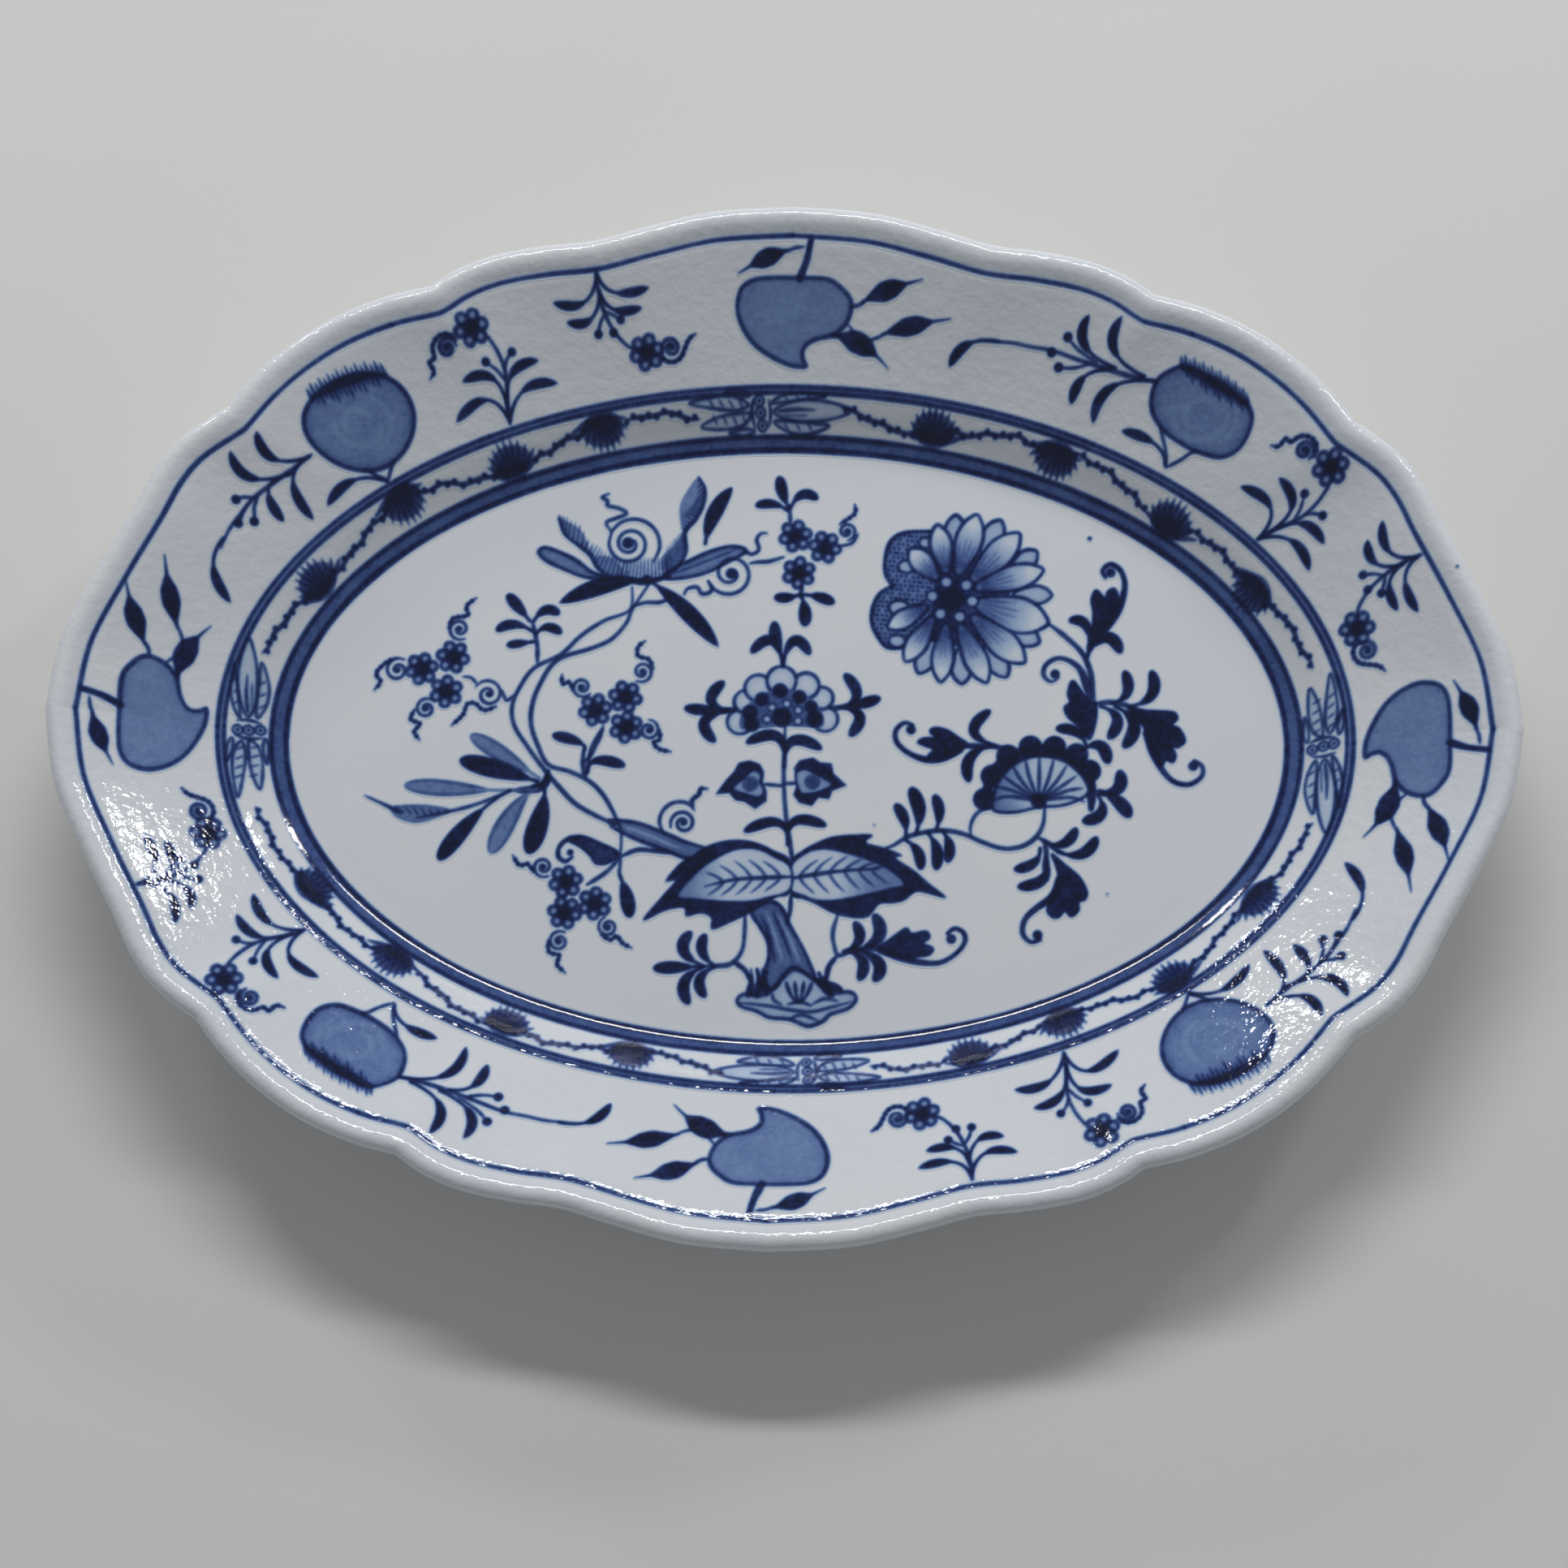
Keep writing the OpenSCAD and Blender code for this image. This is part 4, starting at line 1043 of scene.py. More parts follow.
def paint_lily():
    art.begin("lily_leaves", ["lily"])
    for path, width in (([(-36, 42), (-46.4, 40.4), (-57.8, 35.6)], 4.4),
                        ([(-35, 41.6), (-26, 34.2), (-17.4, 24.8)], 4.3),
                        ([(-21.4, 51.6), (-19.4, 59.4), (-15, 66.4)], 3.9)):
        art.comma(path, width, neck=0.06, tip=0.8)
    art.begin("lily_petals", ["lily"])
    left = [(-45, 42), (-50, 43.8), (-54, 46.8), (-58.6, 49), (-62, 50), (-63.6, 48.8), (-61.6, 46.6),
            (-57, 44.4), (-51.6, 42.4)]
    long_right = [(-32, 42.4), (-27, 42.5), (-21, 44), (-16, 46.6), (-11, 49.8), (-14.6, 51), (-20, 49.6),
                  (-25.4, 47), (-29.6, 44.8)]
    for petal in (left, long_right):
        outlined(petal, 0.5, 0.85, 0.86, pool=0.4)
    left_edge = [(-40.6, 42), (-45, 42.6), (-48.4, 44.8), (-50.4, 48.2), (-53.4, 50.6), (-57, 53.6),
                 (-58.8, 57.8)]
    right_edge = [(-31, 43), (-28, 45.6), (-26.2, 49.6), (-26.6, 54.6), (-24, 58), (-22.2, 62), (-22, 66),
                  (-23.6, 69)]
    blades = [
        [(-42, 42.8), (-47, 43.6), (-49.8, 47), (-47, 48), (-43.6, 46.8)],
        [(-51, 49), (-55.6, 52.2), (-58.8, 57.6), (-54.6, 55.8), (-52.2, 53.4)],
        [(-31.4, 43.6), (-28, 46), (-26.6, 50), (-26.8, 54.6), (-29.2, 51), (-32.4, 47.6)],
        [(-27, 55), (-24.4, 58.4), (-22.4, 62.6), (-23.6, 68.8), (-26.6, 65), (-28.2, 60.6)],
    ]
    for blade in blades:
        art.shape(blade, 0.42, pool=0.2)
    comb(left_edge[:5], [(-0.2, 4.6), (1.6, 5.2), (1.6, 3.6), (0.6, 1.2)], 13)
    comb(left_edge[3:], [(0.8, 1.4), (0.6, 5.2), (0.4, 4.4), (-0.2, 1)], 10)
    comb(right_edge[:4], [(-0.8, 5.4), (-3.4, 4.6), (-3.4, 2.6), (-0.4, 0.6)], 14)
    comb(right_edge[3:], [(-1.2, 0.8), (-3.6, 1.2), (-4.2, -1.4), (-2.6, -3), (-0.2, -0.6)], 14)
    art.line(left_edge, [1.0, 0.8, 1.1, 0.8, 1.2], 0.88)
    art.line(right_edge, [1.0, 0.9, 1.1, 0.9, 1.2], 0.88)
    comb([(-43, 42.6), (-36.6, 41.2), (-30.4, 43)], [(1.2, 4.6), (0, 6.6), (-0.8, 5.2)], 13, 0.6, 0.7)
    art.line([(-44, 42.6), (-37, 41.4), (-30, 43)], [1.2, 1.8, 1.2], 0.95)
    art.line([(-30, 43.4), (-22, 46.6), (-13.5, 50.2)], 0.6, 0.6)
    art.dot((-36, 41.9), 1.3, 0.95)
    art.begin("lily_spirals", ["lily"])
    art.curl((-39.8, 51.2), 7.0, 6.4, -40, 190, 0.9, PEN, (0.6, 0.9))
    art.curl((-40.6, 51.3), 5.4, 1.4, 150, 600, 0.9)
    art.dot((-41, 51.5), 1.5, 0.93)
    art.line([(-45.6, 54.8), (-46.7, 56.8), (-44.4, 57.9), (-41.6, 59.2), (-43.6, 60.6), (-46.4, 61.2),
              (-46.6, 62.6), (-48, 63.4), (-46.2, 64.4)], 0.95)
    art.curl((-14.8, 43.9), 6.0, 1.2, 200, 560, 0.95)
    art.dot((-14.6, 43.9), 1.4, 0.93)
    art.line([(-20.4, 41.8), (-19.4, 39.4), (-21.8, 38.4), (-23.2, 40.2), (-25.6, 39.7), (-26.4, 38.2)], 0.95)
    stems(0.95, [(-10, 46.6), (-7.6, 47), (-5, 47.2), (-1.4, 48.4)],
          [(-12.1, 50.6), (-9.8, 49), (-7.8, 50.2), (-8.4, 52.8), (-7.4, 54.4), (-5.8, 54.6)])


# Each cluster of plum blossoms: its three flowers, its curls (middle, radius, start, sweep, tail) and its
# stalks (path, width).
PLUMS = [
    ("left", [(-92.1, 17.9), (-84.3, 21.1), (-85.7, 12.1)], [
        ((-98.2, 17.5), 3.2, 60, 540,
         [(-98.8, 20.6), (-101.2, 19.4), (-103.6, 16.6), (-102.4, 14.4), (-103.9, 12.3)]),
        ((-82.9, 28.4), 2.9, -60, -540,
         [(-85.7, 28.6), (-84.6, 31.2), (-81, 32), (-81.4, 34.4), (-78.9, 36.6)]),
        ((-90.6, 7.6), 2.8, 40, 540,
         [(-93.5, 7.3), (-94.4, 4.8), (-92, 3.6), (-93.4, 1.6), (-91.9, -0.6)]),
        ((-75, 11.6), 3.8, 150, -560,
         [(-73, 8.4), (-76, 7.4), (-78.4, 9.2), (-80.4, 8.8), (-81.2, 6.2), (-84, 3.4)]),
    ], [
        ([(-71.6, 12.6), (-70.4, 10), (-68.7, 11.4)], 0.8),
        ([(-81.6, 16), (-79.6, 15.8), (-78, 14.2)], 0.75),
    ]),
    ("middle", [(-47.9, 7.9), (-40.4, 11.4), (-40, 3.6)], [
        ((-51.4, 13.8), 2.7, -40, -540,
         [(-53.8, 12.8), (-54.6, 15), (-56.4, 14.6), (-56.6, 17)]),
        ((-36.4, 18), 2.8, -120, 540,
         [(-33.6, 18.8), (-34.8, 21.2), (-37.5, 22), (-37.6, 24.4), (-35.8, 26)]),
        ((-34.3, 2.9), 2.7, 90, -540,
         [(-31.6, 3), (-31.4, 0.6), (-33, -0.4), (-31.4, -2), (-28.6, -2.6)]),
    ], [([(-45.7, 3.8), (-48.6, -2.1), (-49.6, -9.5)], 0.8)]),
    ("lower", [(-53.9, -36.4), (-53.9, -44.3), (-46.4, -41.8)], [
        ((-59.6, -32.7), 2.7, -60, -540,
         [(-62, -34), (-63.6, -32), (-65.6, -32.4), (-67.4, -29.8)]),
        ((-55, -51.6), 2.7, 60, 540,
         [(-57.8, -51.4), (-57.4, -54.4), (-54.8, -55.2), (-55.4, -57.4), (-53.2, -59.6)]),
        ((-42.9, -47.7), 2.6, 110, 540,
         [(-44.6, -49.8), (-42.2, -51), (-40.6, -50), (-39.2, -51.8), (-36.8, -53)]),
    ], []),
    ("upper", [(1.4, 53.9), (8.9, 51.1), (2.5, 44.3)], [
        ((14.3, 55.3), 2.4, -80, 500,
         [(12.6, 57.2), (14.6, 58.6), (16.4, 60.2), (16.2, 62.4)]),
    ], [([(12.1, 51.4), (15.6, 52.2), (17.2, 54.6)], 0.8)]),
]


def paint_plums():
    for name, flowers, curls, stalks in PLUMS:
        art.begin(f"plum_blossoms_{name}", ["plum_blossoms"])
        for i, flower in enumerate(flowers):
            art.blossom(flower, 4.2, 15 + 35 * i)
        for curl in curls:
            curl_with_tail(*curl, 0.8)
        for path, width in stalks:
            art.line(path, width)


def paint_small_sprigs():
    art.begin("five_leaf_sprig", ["small_sprigs"])
    art.line([(-62.9, 20), (-63.2, 25), (-64.6, 30.7)], 1.1)
    leaves(([(-65.2, 30.8), (-70.9, 37.4)], 3.3), ([(-64.3, 30.6), (-61.4, 33.6), (-58, 32.8)], 2.9),
           ([(-64.6, 28.2), (-69.3, 29.8), (-73.4, 28.2)], 2.9),
           ([(-63.6, 27.4), (-60.7, 29.2), (-57.3, 27.8)], 2.7), ([(-64, 25.4), (-70.6, 24.4)], 2.4))
    art.begin("upper_sprig", ["small_sprigs"])
    art.line([(0, 57.4), (-0.3, 62)], 1.1)
    leaves(([(-0.5, 61.2), (-3, 69.2)], 3.3, 0.4), ([(0, 61.4), (2.9, 64.8), (6.6, 63.8)], 2.9),
           ([(-0.8, 60.6), (-4.4, 62.2), (-8.7, 61.8)], 2.7))
    art.begin("lower_sprig", ["small_sprigs"])
    art.line([(3.2, 41.2), (3.2, 37.6)], 1.1)
    leaves(([(2.9, 38.6), (-3.2, 37.8)], 2.9, 0.4), ([(3.4, 38.2), (4.4, 30.9)], 3.6, 0.3),
           ([(4.2, 38.6), (11.3, 36.7)], 3.1, 0.4))


def paint_leaf_fan():
    art.begin("leaf_fan", ["leaf_fan"])
    art.line([(-59.2, -8), (-60, -11.4), (-63.2, -12.8), (-68, -13.2)], [1.8, 2.6, 2.0, 1.1], 0.93)
    for path, width, neck in (([(-61.4, -10), (-67, -6.4), (-78.8, 0.8)], 4.3, 0.1),
                              ([(-63.6, -12.8), (-75, -13.2), (-95, -12.3)], 4.3, 0.3),
                              ([(-61.8, -12.6), (-66.8, -17.4), (-72.8, -29)], 5.0, 0.1)):
        art.comma(path, width, 0, 0.66, neck)
        art.comma(path, width * 0.62, 0, -0.34, neck + 0.1)
    for path, width, neck in (([(-61.8, -10.8), (-70, -8.4), (-81.2, -5.6)], 4.9, 0.05),
                              ([(-68.6, -13.2), (-76.6, -19.4), (-85.8, -31)], 4.3, 0.3),
                              ([(-60, -12.8), (-60.6, -19), (-63.4, -28.8)], 5.2, 0.05)):
        art.comma(path, width, neck=neck)
    blade = [(-83, -18.6), (-88, -17.4), (-93, -17.2), (-98.4, -18), (-97, -20.6), (-92, -22), (-87, -20.6)]
    art.shape(blade, 0.5, pool=0.3)
    comb([(-84, -19), (-90, -19.8), (-97.4, -19.2)], [(-0.6, 0.6), (-1.4, 2.4), (-2.6, 1.8)], 8)
    art.line([(-68.6, -13.4), (-77, -16.9), (-84, -18.9), (-92, -20.6)], [1.0, 0.9, 0.9, 0.6])
    art.line([(-96, -19.4), (-99.6, -17.6), (-105.4, -15)], [1.3, 0.8, 0.5])


# ---- The well: the chrysanthemum, the peony and the right branch ----

# The chrysanthemum's petals, as (base, tip, width), from the ones at the back to the front ones.
MUM_BACK = [
    ((41.4, 50), (41.9, 60), 5.2), ((49, 50), (53.2, 58.8), 5.2), ((56, 45), (62.4, 50.8), 5.0),
    ((57, 39.4), (66.4, 39.4), 4.8), ((55, 31), (63.4, 27), 5.2), ((50, 26), (55.4, 18), 5.0),
    ((43.6, 25), (44.2, 16), 5.0), ((37, 27), (33.2, 18.6), 4.8),
]
MUM_ISLANDS = [(34.5, 52.6, 1.5), (29.6, 46.3, 1.7), (27.9, 35.6, 2.0), (27.6, 26.9, 1.7)]
MUM_FRONT = [
    ((39.6, 45), (37.2, 57.4), 5.6), ((42.8, 44.6), (47.2, 60.2), 6.8), ((46.4, 43), (58, 55.4), 7.0),
    ((47.4, 41), (64.2, 46), 6.6), ((46.6, 33.4), (59.8, 21.8), 7.2), ((43.4, 31.2), (50.4, 16.4), 6.0),
    ((39.8, 31.2), (38.8, 16.4), 5.6), ((36.6, 33), (29.8, 21.6), 5.4), ((34.8, 36), (25.2, 30.2), 5.0),
    ((37.4, 43.2), (30.4, 51), 5.8), ((47.6, 37), (65.6, 32), 9.2),
]
MUM_MIDDLE = (41.4, 38.2)
# The dark hollow behind the front petals, as (angle in degrees, reach) from the middle.
MUM_SHADOW = [(-115, 12), (-70, 13), (-35, 14), (0, 14.5), (35, 14.5), (70, 13), (105, 12), (180, 5)]
MUM_SEEDS = [(39.8, 42.4), (44.8, 41.7), (46.4, 37.5), (43.3, 33.4), (38.4, 34.1), (36.3, 38.7)]


def petal_ring(base, tip, width):
    """A pointed petal's outline, broadest beyond its middle."""
    base, tip = np.array(base, float), np.array(tip, float)
    run = tip - base
    side = np.array([-run[1], run[0]]) / np.hypot(*run) * width / 2
    half = [(0.0, 0.3), (0.3, 0.76), (0.58, 1.0), (0.8, 0.78), (0.93, 0.4)]
    return ([base + run * t + side * k for t, k in half] + [base + run * 1.0]
            + [base + run * t - side * k for t, k in half[::-1]])


def paint_mum_petal(base, tip, width, shaded):
    """A petal that hides what is behind it: bare at its tip, and streaked with blue from its base."""
    base, tip = np.array(base, float), np.array(tip, float)
    run = tip - base
    length = np.hypot(*run)
    ring = petal_ring(base, tip, width)

    def shade(x, y):
        t = ((x - base[0]) * run[0] + (y - base[1]) * run[1]) / length ** 2
        return np.clip(1.15 - 1.3 * t, 0.1, 1)

    outlined(ring, 0.58 if shaded else 0.2, 0.85, PEN, pool=0.2, shade=shade if shaded else None, over=True)
    side = np.array([-run[1], run[0]]) / length
    for offset in (-0.3, -0.1, 0.1, 0.3) if shaded else ():
        foot = base + run * 0.08 + side * width * offset * 0.4
        stop = base + run * (0.62 - abs(offset) * 0.5) + side * width * offset
        art.line([foot, (foot + stop) / 2, stop], [0.6, 0.5, 0.3], 0.36)


def paint_chrysanthemum():
    art.begin("chrysanthemum_lobes", ["chrysanthemum"])
    lobes = [(42, 50), (37, 55.6), (29, 55.2), (25.4, 52.8), (24.2, 48.4), (24.4, 44.2), (26.2, 41.2),
             (23, 39.2), (21.3, 35.4), (21.2, 31.4), (23, 27.6), (26, 25), (34, 26), (42, 30)]
    art.shape(lobes, 0.5, pool=0.3)
    for run in (lobes[1:7], lobes[6:13]):
        art.line(run, 0.7, 0.7)
        for at in evenly(catmull(run, 6), 1.0):
            art.dot(at, 0.5, 0.84)
    edge = catmull(lobes, 4, closed=True)
    for i in range(300):
        x = 21.5 + 15 * ((i * 0.7549) % 1)
        y = 25.5 + 29.5 * ((i * 0.5698) % 1)
        if inside_of(edge, np.array(x), np.array(y)):
            art.dot((x, y), 0.4, 0.78)
    for x, y, r in MUM_ISLANDS:
        ring = oval_points((x, y), 1.25 * r, 0.95 * r, 8)
        outlined(ring, 0.2, 0.7, PEN, pool=0, over=True)
    art.begin("chrysanthemum_petals", ["chrysanthemum"])
    for petal in MUM_BACK:
        paint_mum_petal(*petal, False)
    shadow = [(MUM_MIDDLE[0] + r * math.cos(math.radians(a)), MUM_MIDDLE[1] + r * math.sin(math.radians(a)))
              for a, r in MUM_SHADOW]
    art.shape(shadow, 0.8, pool=0)
    for petal in MUM_FRONT:
        paint_mum_petal(*petal, True)
    art.begin("chrysanthemum_heart", ["chrysanthemum"])
    art.dot(MUM_MIDDLE, 4.8, 0.5)
    for x, y in MUM_SEEDS:
        ring = oval_points((x, y), 1.5, 1.5, 8)
        outlined(ring, 0.26, 0.6, PEN, pool=0.3, over=True)
    art.dot(MUM_MIDDLE, 3.0)


def paint_right_branch():
    art.begin("right_branch_stems", ["right_branch"])
    art.line([(65.4, 32.1), (70, 28.6), (74.3, 24.3), (76.4, 19.3), (77.1, 14.3), (77.5, 10.7)], 1.25)
    art.line([(77.5, 11.4), (82.1, 11.8), (87.1, 10.7)], 1.3)
    stems(1.0, [(75.2, 22.6), (76.2, 26), (76, 29)])
    leaves(([(76, 27), (74.8, 32), (71, 32.8)], 3.0), ([(75.8, 24.6), (80.4, 28.6), (83.8, 24.8)], 3.5),
           ([(81.8, 11.6), (85.6, 14.4), (84.9, 19.8)], 3.1), ([(86.4, 10.8), (91.8, 14), (91.6, 20)], 3.3),
           ([(79, 10.8), (83.2, 7.6), (81.2, 2.6)], 3.3), ([(82.6, 10.8), (87.4, 6.4), (85, 0.4)], 3.7),
           ([(75.6, 0.4), (73, 4), (68.2, 4.8)], 3.1))
    art.begin("right_branch_curls", ["right_branch"])
    art.line([(76.4, 12), (75.4, 16.4), (73.6, 20.4), (70.6, 22.6), (67.6, 22.9), (65, 21), (64.7, 18.4),
              (66.6, 16.9), (68.4, 18)], [2.4, 2.2, 1.6, 1.3, 1.2, 1.1, 1.0])
    art.dot((67.5, 18.9), 1.15)
    art.begin("peony_branch", ["right_branch"])
    art.line([(24.6, -27), (27.9, -25.7), (32.1, -23.2), (39.3, -21.8), (45, -22.5), (50, -24.6), (55, -26.1),
              (59.3, -25.7), (62.9, -23.6), (65, -20), (65.4, -15.7)], 1.2)
    art.line([(47.1, -22.9), (47, -20.4), (48.4, -17.4), (51.4, -15.8), (55.7, -16.6), (60.7, -15.7)], 0.95)
    leaves(([(30.9, -23.4), (28.2, -15.4)], 3.1, -0.9), ([(33.4, -22.8), (32, -11.2)], 4.0, -1.4),
           ([(38.4, -21.8), (37.9, -12.9)], 3.1, -1.0), ([(30.7, -24.2), (34.8, -31.6)], 3.1, 1.3),
           ([(36.2, -22.2), (38.6, -31.6)], 3.3, 1.3), ([(40, -21.8), (41.4, -29.6)], 3.1, 1.1))
    stems(1.2, [(63.9, -23.2), (66, -24.4), (68.6, -26.4), (71, -27.4)],
          [(65.4, -24), (66, -27.4), (65.6, -31), (66.4, -34)])
    leaves(([(66, -24.4), (70.4, -24.6), (73.3, -20.8)], 3.0),
           ([(69, -26.8), (74.8, -27.2), (78.4, -23)], 3.3),
           ([(64.4, -26), (63, -29.6), (58.3, -31.4)], 3.0),
           ([(66, -28), (65.4, -33.6), (59.2, -35.8)], 3.3))
    art.begin("peony_sprig", ["right_branch"])
    stems(1.2, [(75.8, -9), (77.6, -11), (80.2, -11.6)])
    leaves(([(79, -11), (83.6, -10.4), (84, -6)], 3.6), ([(79.4, -11.8), (83.6, -13.6), (86.5, -17.3)], 3.9),
           ([(78.6, -12), (79.6, -16.6), (75.2, -18.8)], 3.5), ([(74.6, -0.6), (79, 0.6), (81, -3.7)], 3.5))


# Each dark scrolling leaf: its lobed blade, then its tail with the tail's widths and the eye of its curl.
SCROLL_LEAVES = [
    ("tall", [(75.6, 25.4), (76.6, 30), (76.9, 35), (76.4, 38.2), (77.4, 40.8), (79, 39.4), (79.8, 38.6),
              (80.6, 40.6), (82.2, 41.2), (83.2, 38.4), (82.6, 34.6), (80.4, 31), (78, 28)],
     [(76, 26), (80, 31), (83.4, 36.4), (84.7, 42), (83.6, 46), (81, 47.6), (79.1, 46), (79.8, 44.2)],
     [1.4, 1.8, 2.0, 1.6, 1.3, 1.2, 1.1], (81.1, 45.4)),
    ("upright", [(76.3, 2.2), (73.6, 5.4), (70.8, 8), (70, 10.4), (71.4, 11.6), (70.8, 14), (71.8, 17.2),
                 (73.4, 15.6), (75, 13.4), (76.6, 11.6), (77.9, 11.5), (77.9, 7)], None, None, None),
    ("outer", [(85.6, 10.8), (90, 9.9), (94, 9.7), (97.4, 9.4), (98.2, 7.8), (96.8, 6.2), (98.8, 5.2),
               (100.2, 2.2), (98.4, 0.5), (96.8, 0.9), (97.9, -1.6), (97.2, -3.4), (95.4, -2.8), (94.4, -4.8),
               (92.8, -3.4), (91.2, 0), (90.6, 4), (88.6, 7.4)],
     [(90.8, 4), (92.4, -1), (94.6, -5.4), (97.6, -8.4), (101.4, -9), (104.4, -7), (104.6, -4.4),
      (102.6, -3)],
     [2.6, 2.2, 1.6, 1.2, 1.1, 1.1, 1.0], (102.3, -4.3)),
    ("lower", [(67.4, -27.4), (70.6, -30), (74.2, -33), (76.2, -36.6), (75.8, -38.8), (74.2, -39.4),
               (74.2, -41.6), (72.4, -43.2), (70.8, -41.8), (69.6, -43.2), (68, -43.6), (66.4, -42),
               (66.6, -40), (64.6, -41), (67.2, -37.6), (69, -33.4), (68.4, -30.2)],
     [(69.6, -34), (68, -38), (64, -41), (61, -44), (60.4, -47.6), (62.4, -49.8), (64.8, -49.2)],
     [2.6, 2.2, 1.6, 1.2, 1.1, 1.0], (64.1, -48)),
    ("middle", [(46, 0.4), (43.4, 2.2), (40.6, 4), (37.6, 4.6), (36.4, 3.6), (37.8, 2), (34.8, 1.8),
                (33.4, 0.8), (35.4, -0.2), (37.4, -1), (36, -2.8), (38.4, -3.7), (41.8, -2.6), (44.6, -0.8)],
     [(44, -1), (40, -3), (36, -3.7), (31.4, -2.2), (28.2, 0.6), (27.8, 3.6), (29.8, 5.7), (32, 5.2)],
     [1.6, 2.0, 1.8, 1.3, 1.2, 1.1, 1.0], (31.6, 4)),
    ("foot", [(24.2, -52.2), (27, -50), (29.6, -48), (31.6, -46.8), (32.8, -48.2), (36.4, -47.6),
              (37.2, -49.2), (35.6, -50.6), (38.2, -51.8), (37.2, -53.5), (34, -54), (30, -54.2),
              (26.6, -53.4)],
     [(25, -52.6), (30, -54.2), (35, -55.4), (40, -55.4), (44, -53), (46.1, -50), (45.6, -47.6),
      (43.4, -46.7), (41.8, -48)],
     [1.6, 2.0, 1.6, 1.2, 1.1, 1.1, 1.0], (42.7, -49.4)),
]


def paint_scroll_leaves():
    for name, ring, tail, widths, eye in SCROLL_LEAVES:
        art.begin(f"scroll_leaf_{name}", ["scroll_leaves"])
        outlined(ring, 0.95, 0.5, 0.95, pool=0)
        if tail:
            art.line(tail, widths, 0.93, (1, 0.9))
            art.dot(eye, 1.2, 0.93)
        if name == "middle":
            stems([1.8, 1.3, 1.1], [(44, 0), (52.1, 0), (58, -1)])
            leaves(([(53, 0.2), (47.4, 3.8), (51.3, 9.2)], 3.1), ([(52, 0), (46.6, -3), (46.4, -9)], 3.3))


def paint_peony():
    art.begin("peony_lobes", ["peony"])
    for x, y in ((50.4, -13.6), (52.2, -7.6), (56, -2.4), (61.6, 0), (67.6, 0), (73.2, -1.8), (76.4, -6)):
        art.dot((x, y), 2.9, 0.95)
    hub = np.array((63.9, -13.9))
    ring = [hub + np.array((13.2 * math.cos(a), 12.6 * math.sin(a)))
            for a in np.radians(np.arange(-8, 196, 12))]
    art.line(ring, [2.6, 4.4, 4.4, 4.0, 2.6], 0.93)
    art.begin("peony_dome", ["peony"])
    dome = [(52.8, -16.4), (52.6, -12.5), (54, -8.5), (57, -5), (61, -2.8), (65, -2.3), (69.5, -3.2),
            (73, -5.4), (75.6, -8.6), (76.2, -11.6), (73, -13.8), (69, -15), (64, -15.4), (58, -16.8)]

    def shade(x, y):
        return np.clip(1.1 - 0.09 * (x - 53), 0.25, 1.1)

    outlined(dome, 0.5, 0.8, 0.88, pool=0.3, shade=shade, over=True)
    for a in np.radians(np.arange(0, 181, 18)):
        tip = hub + np.array((11.4 * math.cos(a), 11.2 * math.sin(a)))
        bow = np.array((math.cos(a) * 2.2, 1.4 * abs(math.cos(a))))
        art.line([hub, (hub + tip) / 2 + bow * 0.8, tip], [0.6, 0.95, 0.75], 0.78)
    art.dot(hub, 2.0, 0.97)


# ---- The well: the middle ----

def paint_aster():
    art.begin("aster_petals", ["aster"])
    for (x, y), r in (((-11.4, 5.4), 3.2), ((10, 6.4), 3.2), ((-10, 10.6), 3.0), ((9, 11.8), 2.9),
                      ((-7, 14.2), 3.4), ((5, 15), 3.3), ((-1.2, 16.2), 3.7)):
        ring = oval_points((x, y), r, r, 9)
        outlined(ring, 0.14, 0.8, PEN, pool=0.9, over=True)
    art.begin("aster_heart", ["aster"])
    dome = [(-11, 3.6), (-11.2, 7), (-8.6, 10.8), (-4.8, 13.2), (-0.8, 14.2), (3.4, 13.2), (7, 11),
            (9.2, 8), (9.4, 4.4), (4, 4.3), (-0.6, 4.4), (-6, 3.8)]
    art.shape(dome, 0.6, pool=0, over=True)
    for x, y, r in ((-1.5, 13.6, 1.9), (3.4, 12, 1.8), (-6, 11.3, 1.8), (6.4, 9.6, 1.6), (-9, 7.8, 2.0),
                    (7.4, 6.3, 2.2), (-8.4, 4.8, 2.0), (-0.8, 6.6, 2.5)):
        art.dot((x, y), r, 0.93)
    for x, y in ((-3.4, 9.2), (0.3, 10.2), (3.2, 8.6), (-4.6, 6.2), (3.2, 5.8)):
        ring = oval_points((x, y), 1.05, 1.05, 6)
        outlined(ring, 0.16, 0.5, 0.8, pool=0, over=True)
    art.begin("aster_sprigs", ["aster"])
    art.line([(11.4, 9.2), (16, 9.6)], [1.6, 0.9])
    art.line([(-12.6, 8.4), (-17, 8.2)], [1.8, 1.0])
    leaves(([(13.6, 9.6), (17.8, 12.6), (14.7, 18)], 3.2), ([(14.4, 9.6), (23.5, 12)], 3.2, -0.3),
           ([(13.6, 9.4), (18.6, 7.4), (16.4, 2.3)], 3.2),
           ([(-14.2, 8.4), (-18.8, 10.8), (-15.8, 15.6)], 3.2), ([(-14.6, 8.2), (-25.2, 8.7)], 3.2, 0.2),
           ([(-14, 8), (-20.2, 5.4), (-17.6, 0.2)], 3.2), ([(-1, 21.6), (-3.4, 31.2)], 3.4, 0.5),
           ([(-1, 20.6), (1.8, 26.6), (5.7, 23.2)], 3.1), ([(-1, 20.6), (-4, 26.6), (-8.9, 23.4)], 3.1))
    art.line([(-0.9, 19.6), (-1, 23)], 1.2)


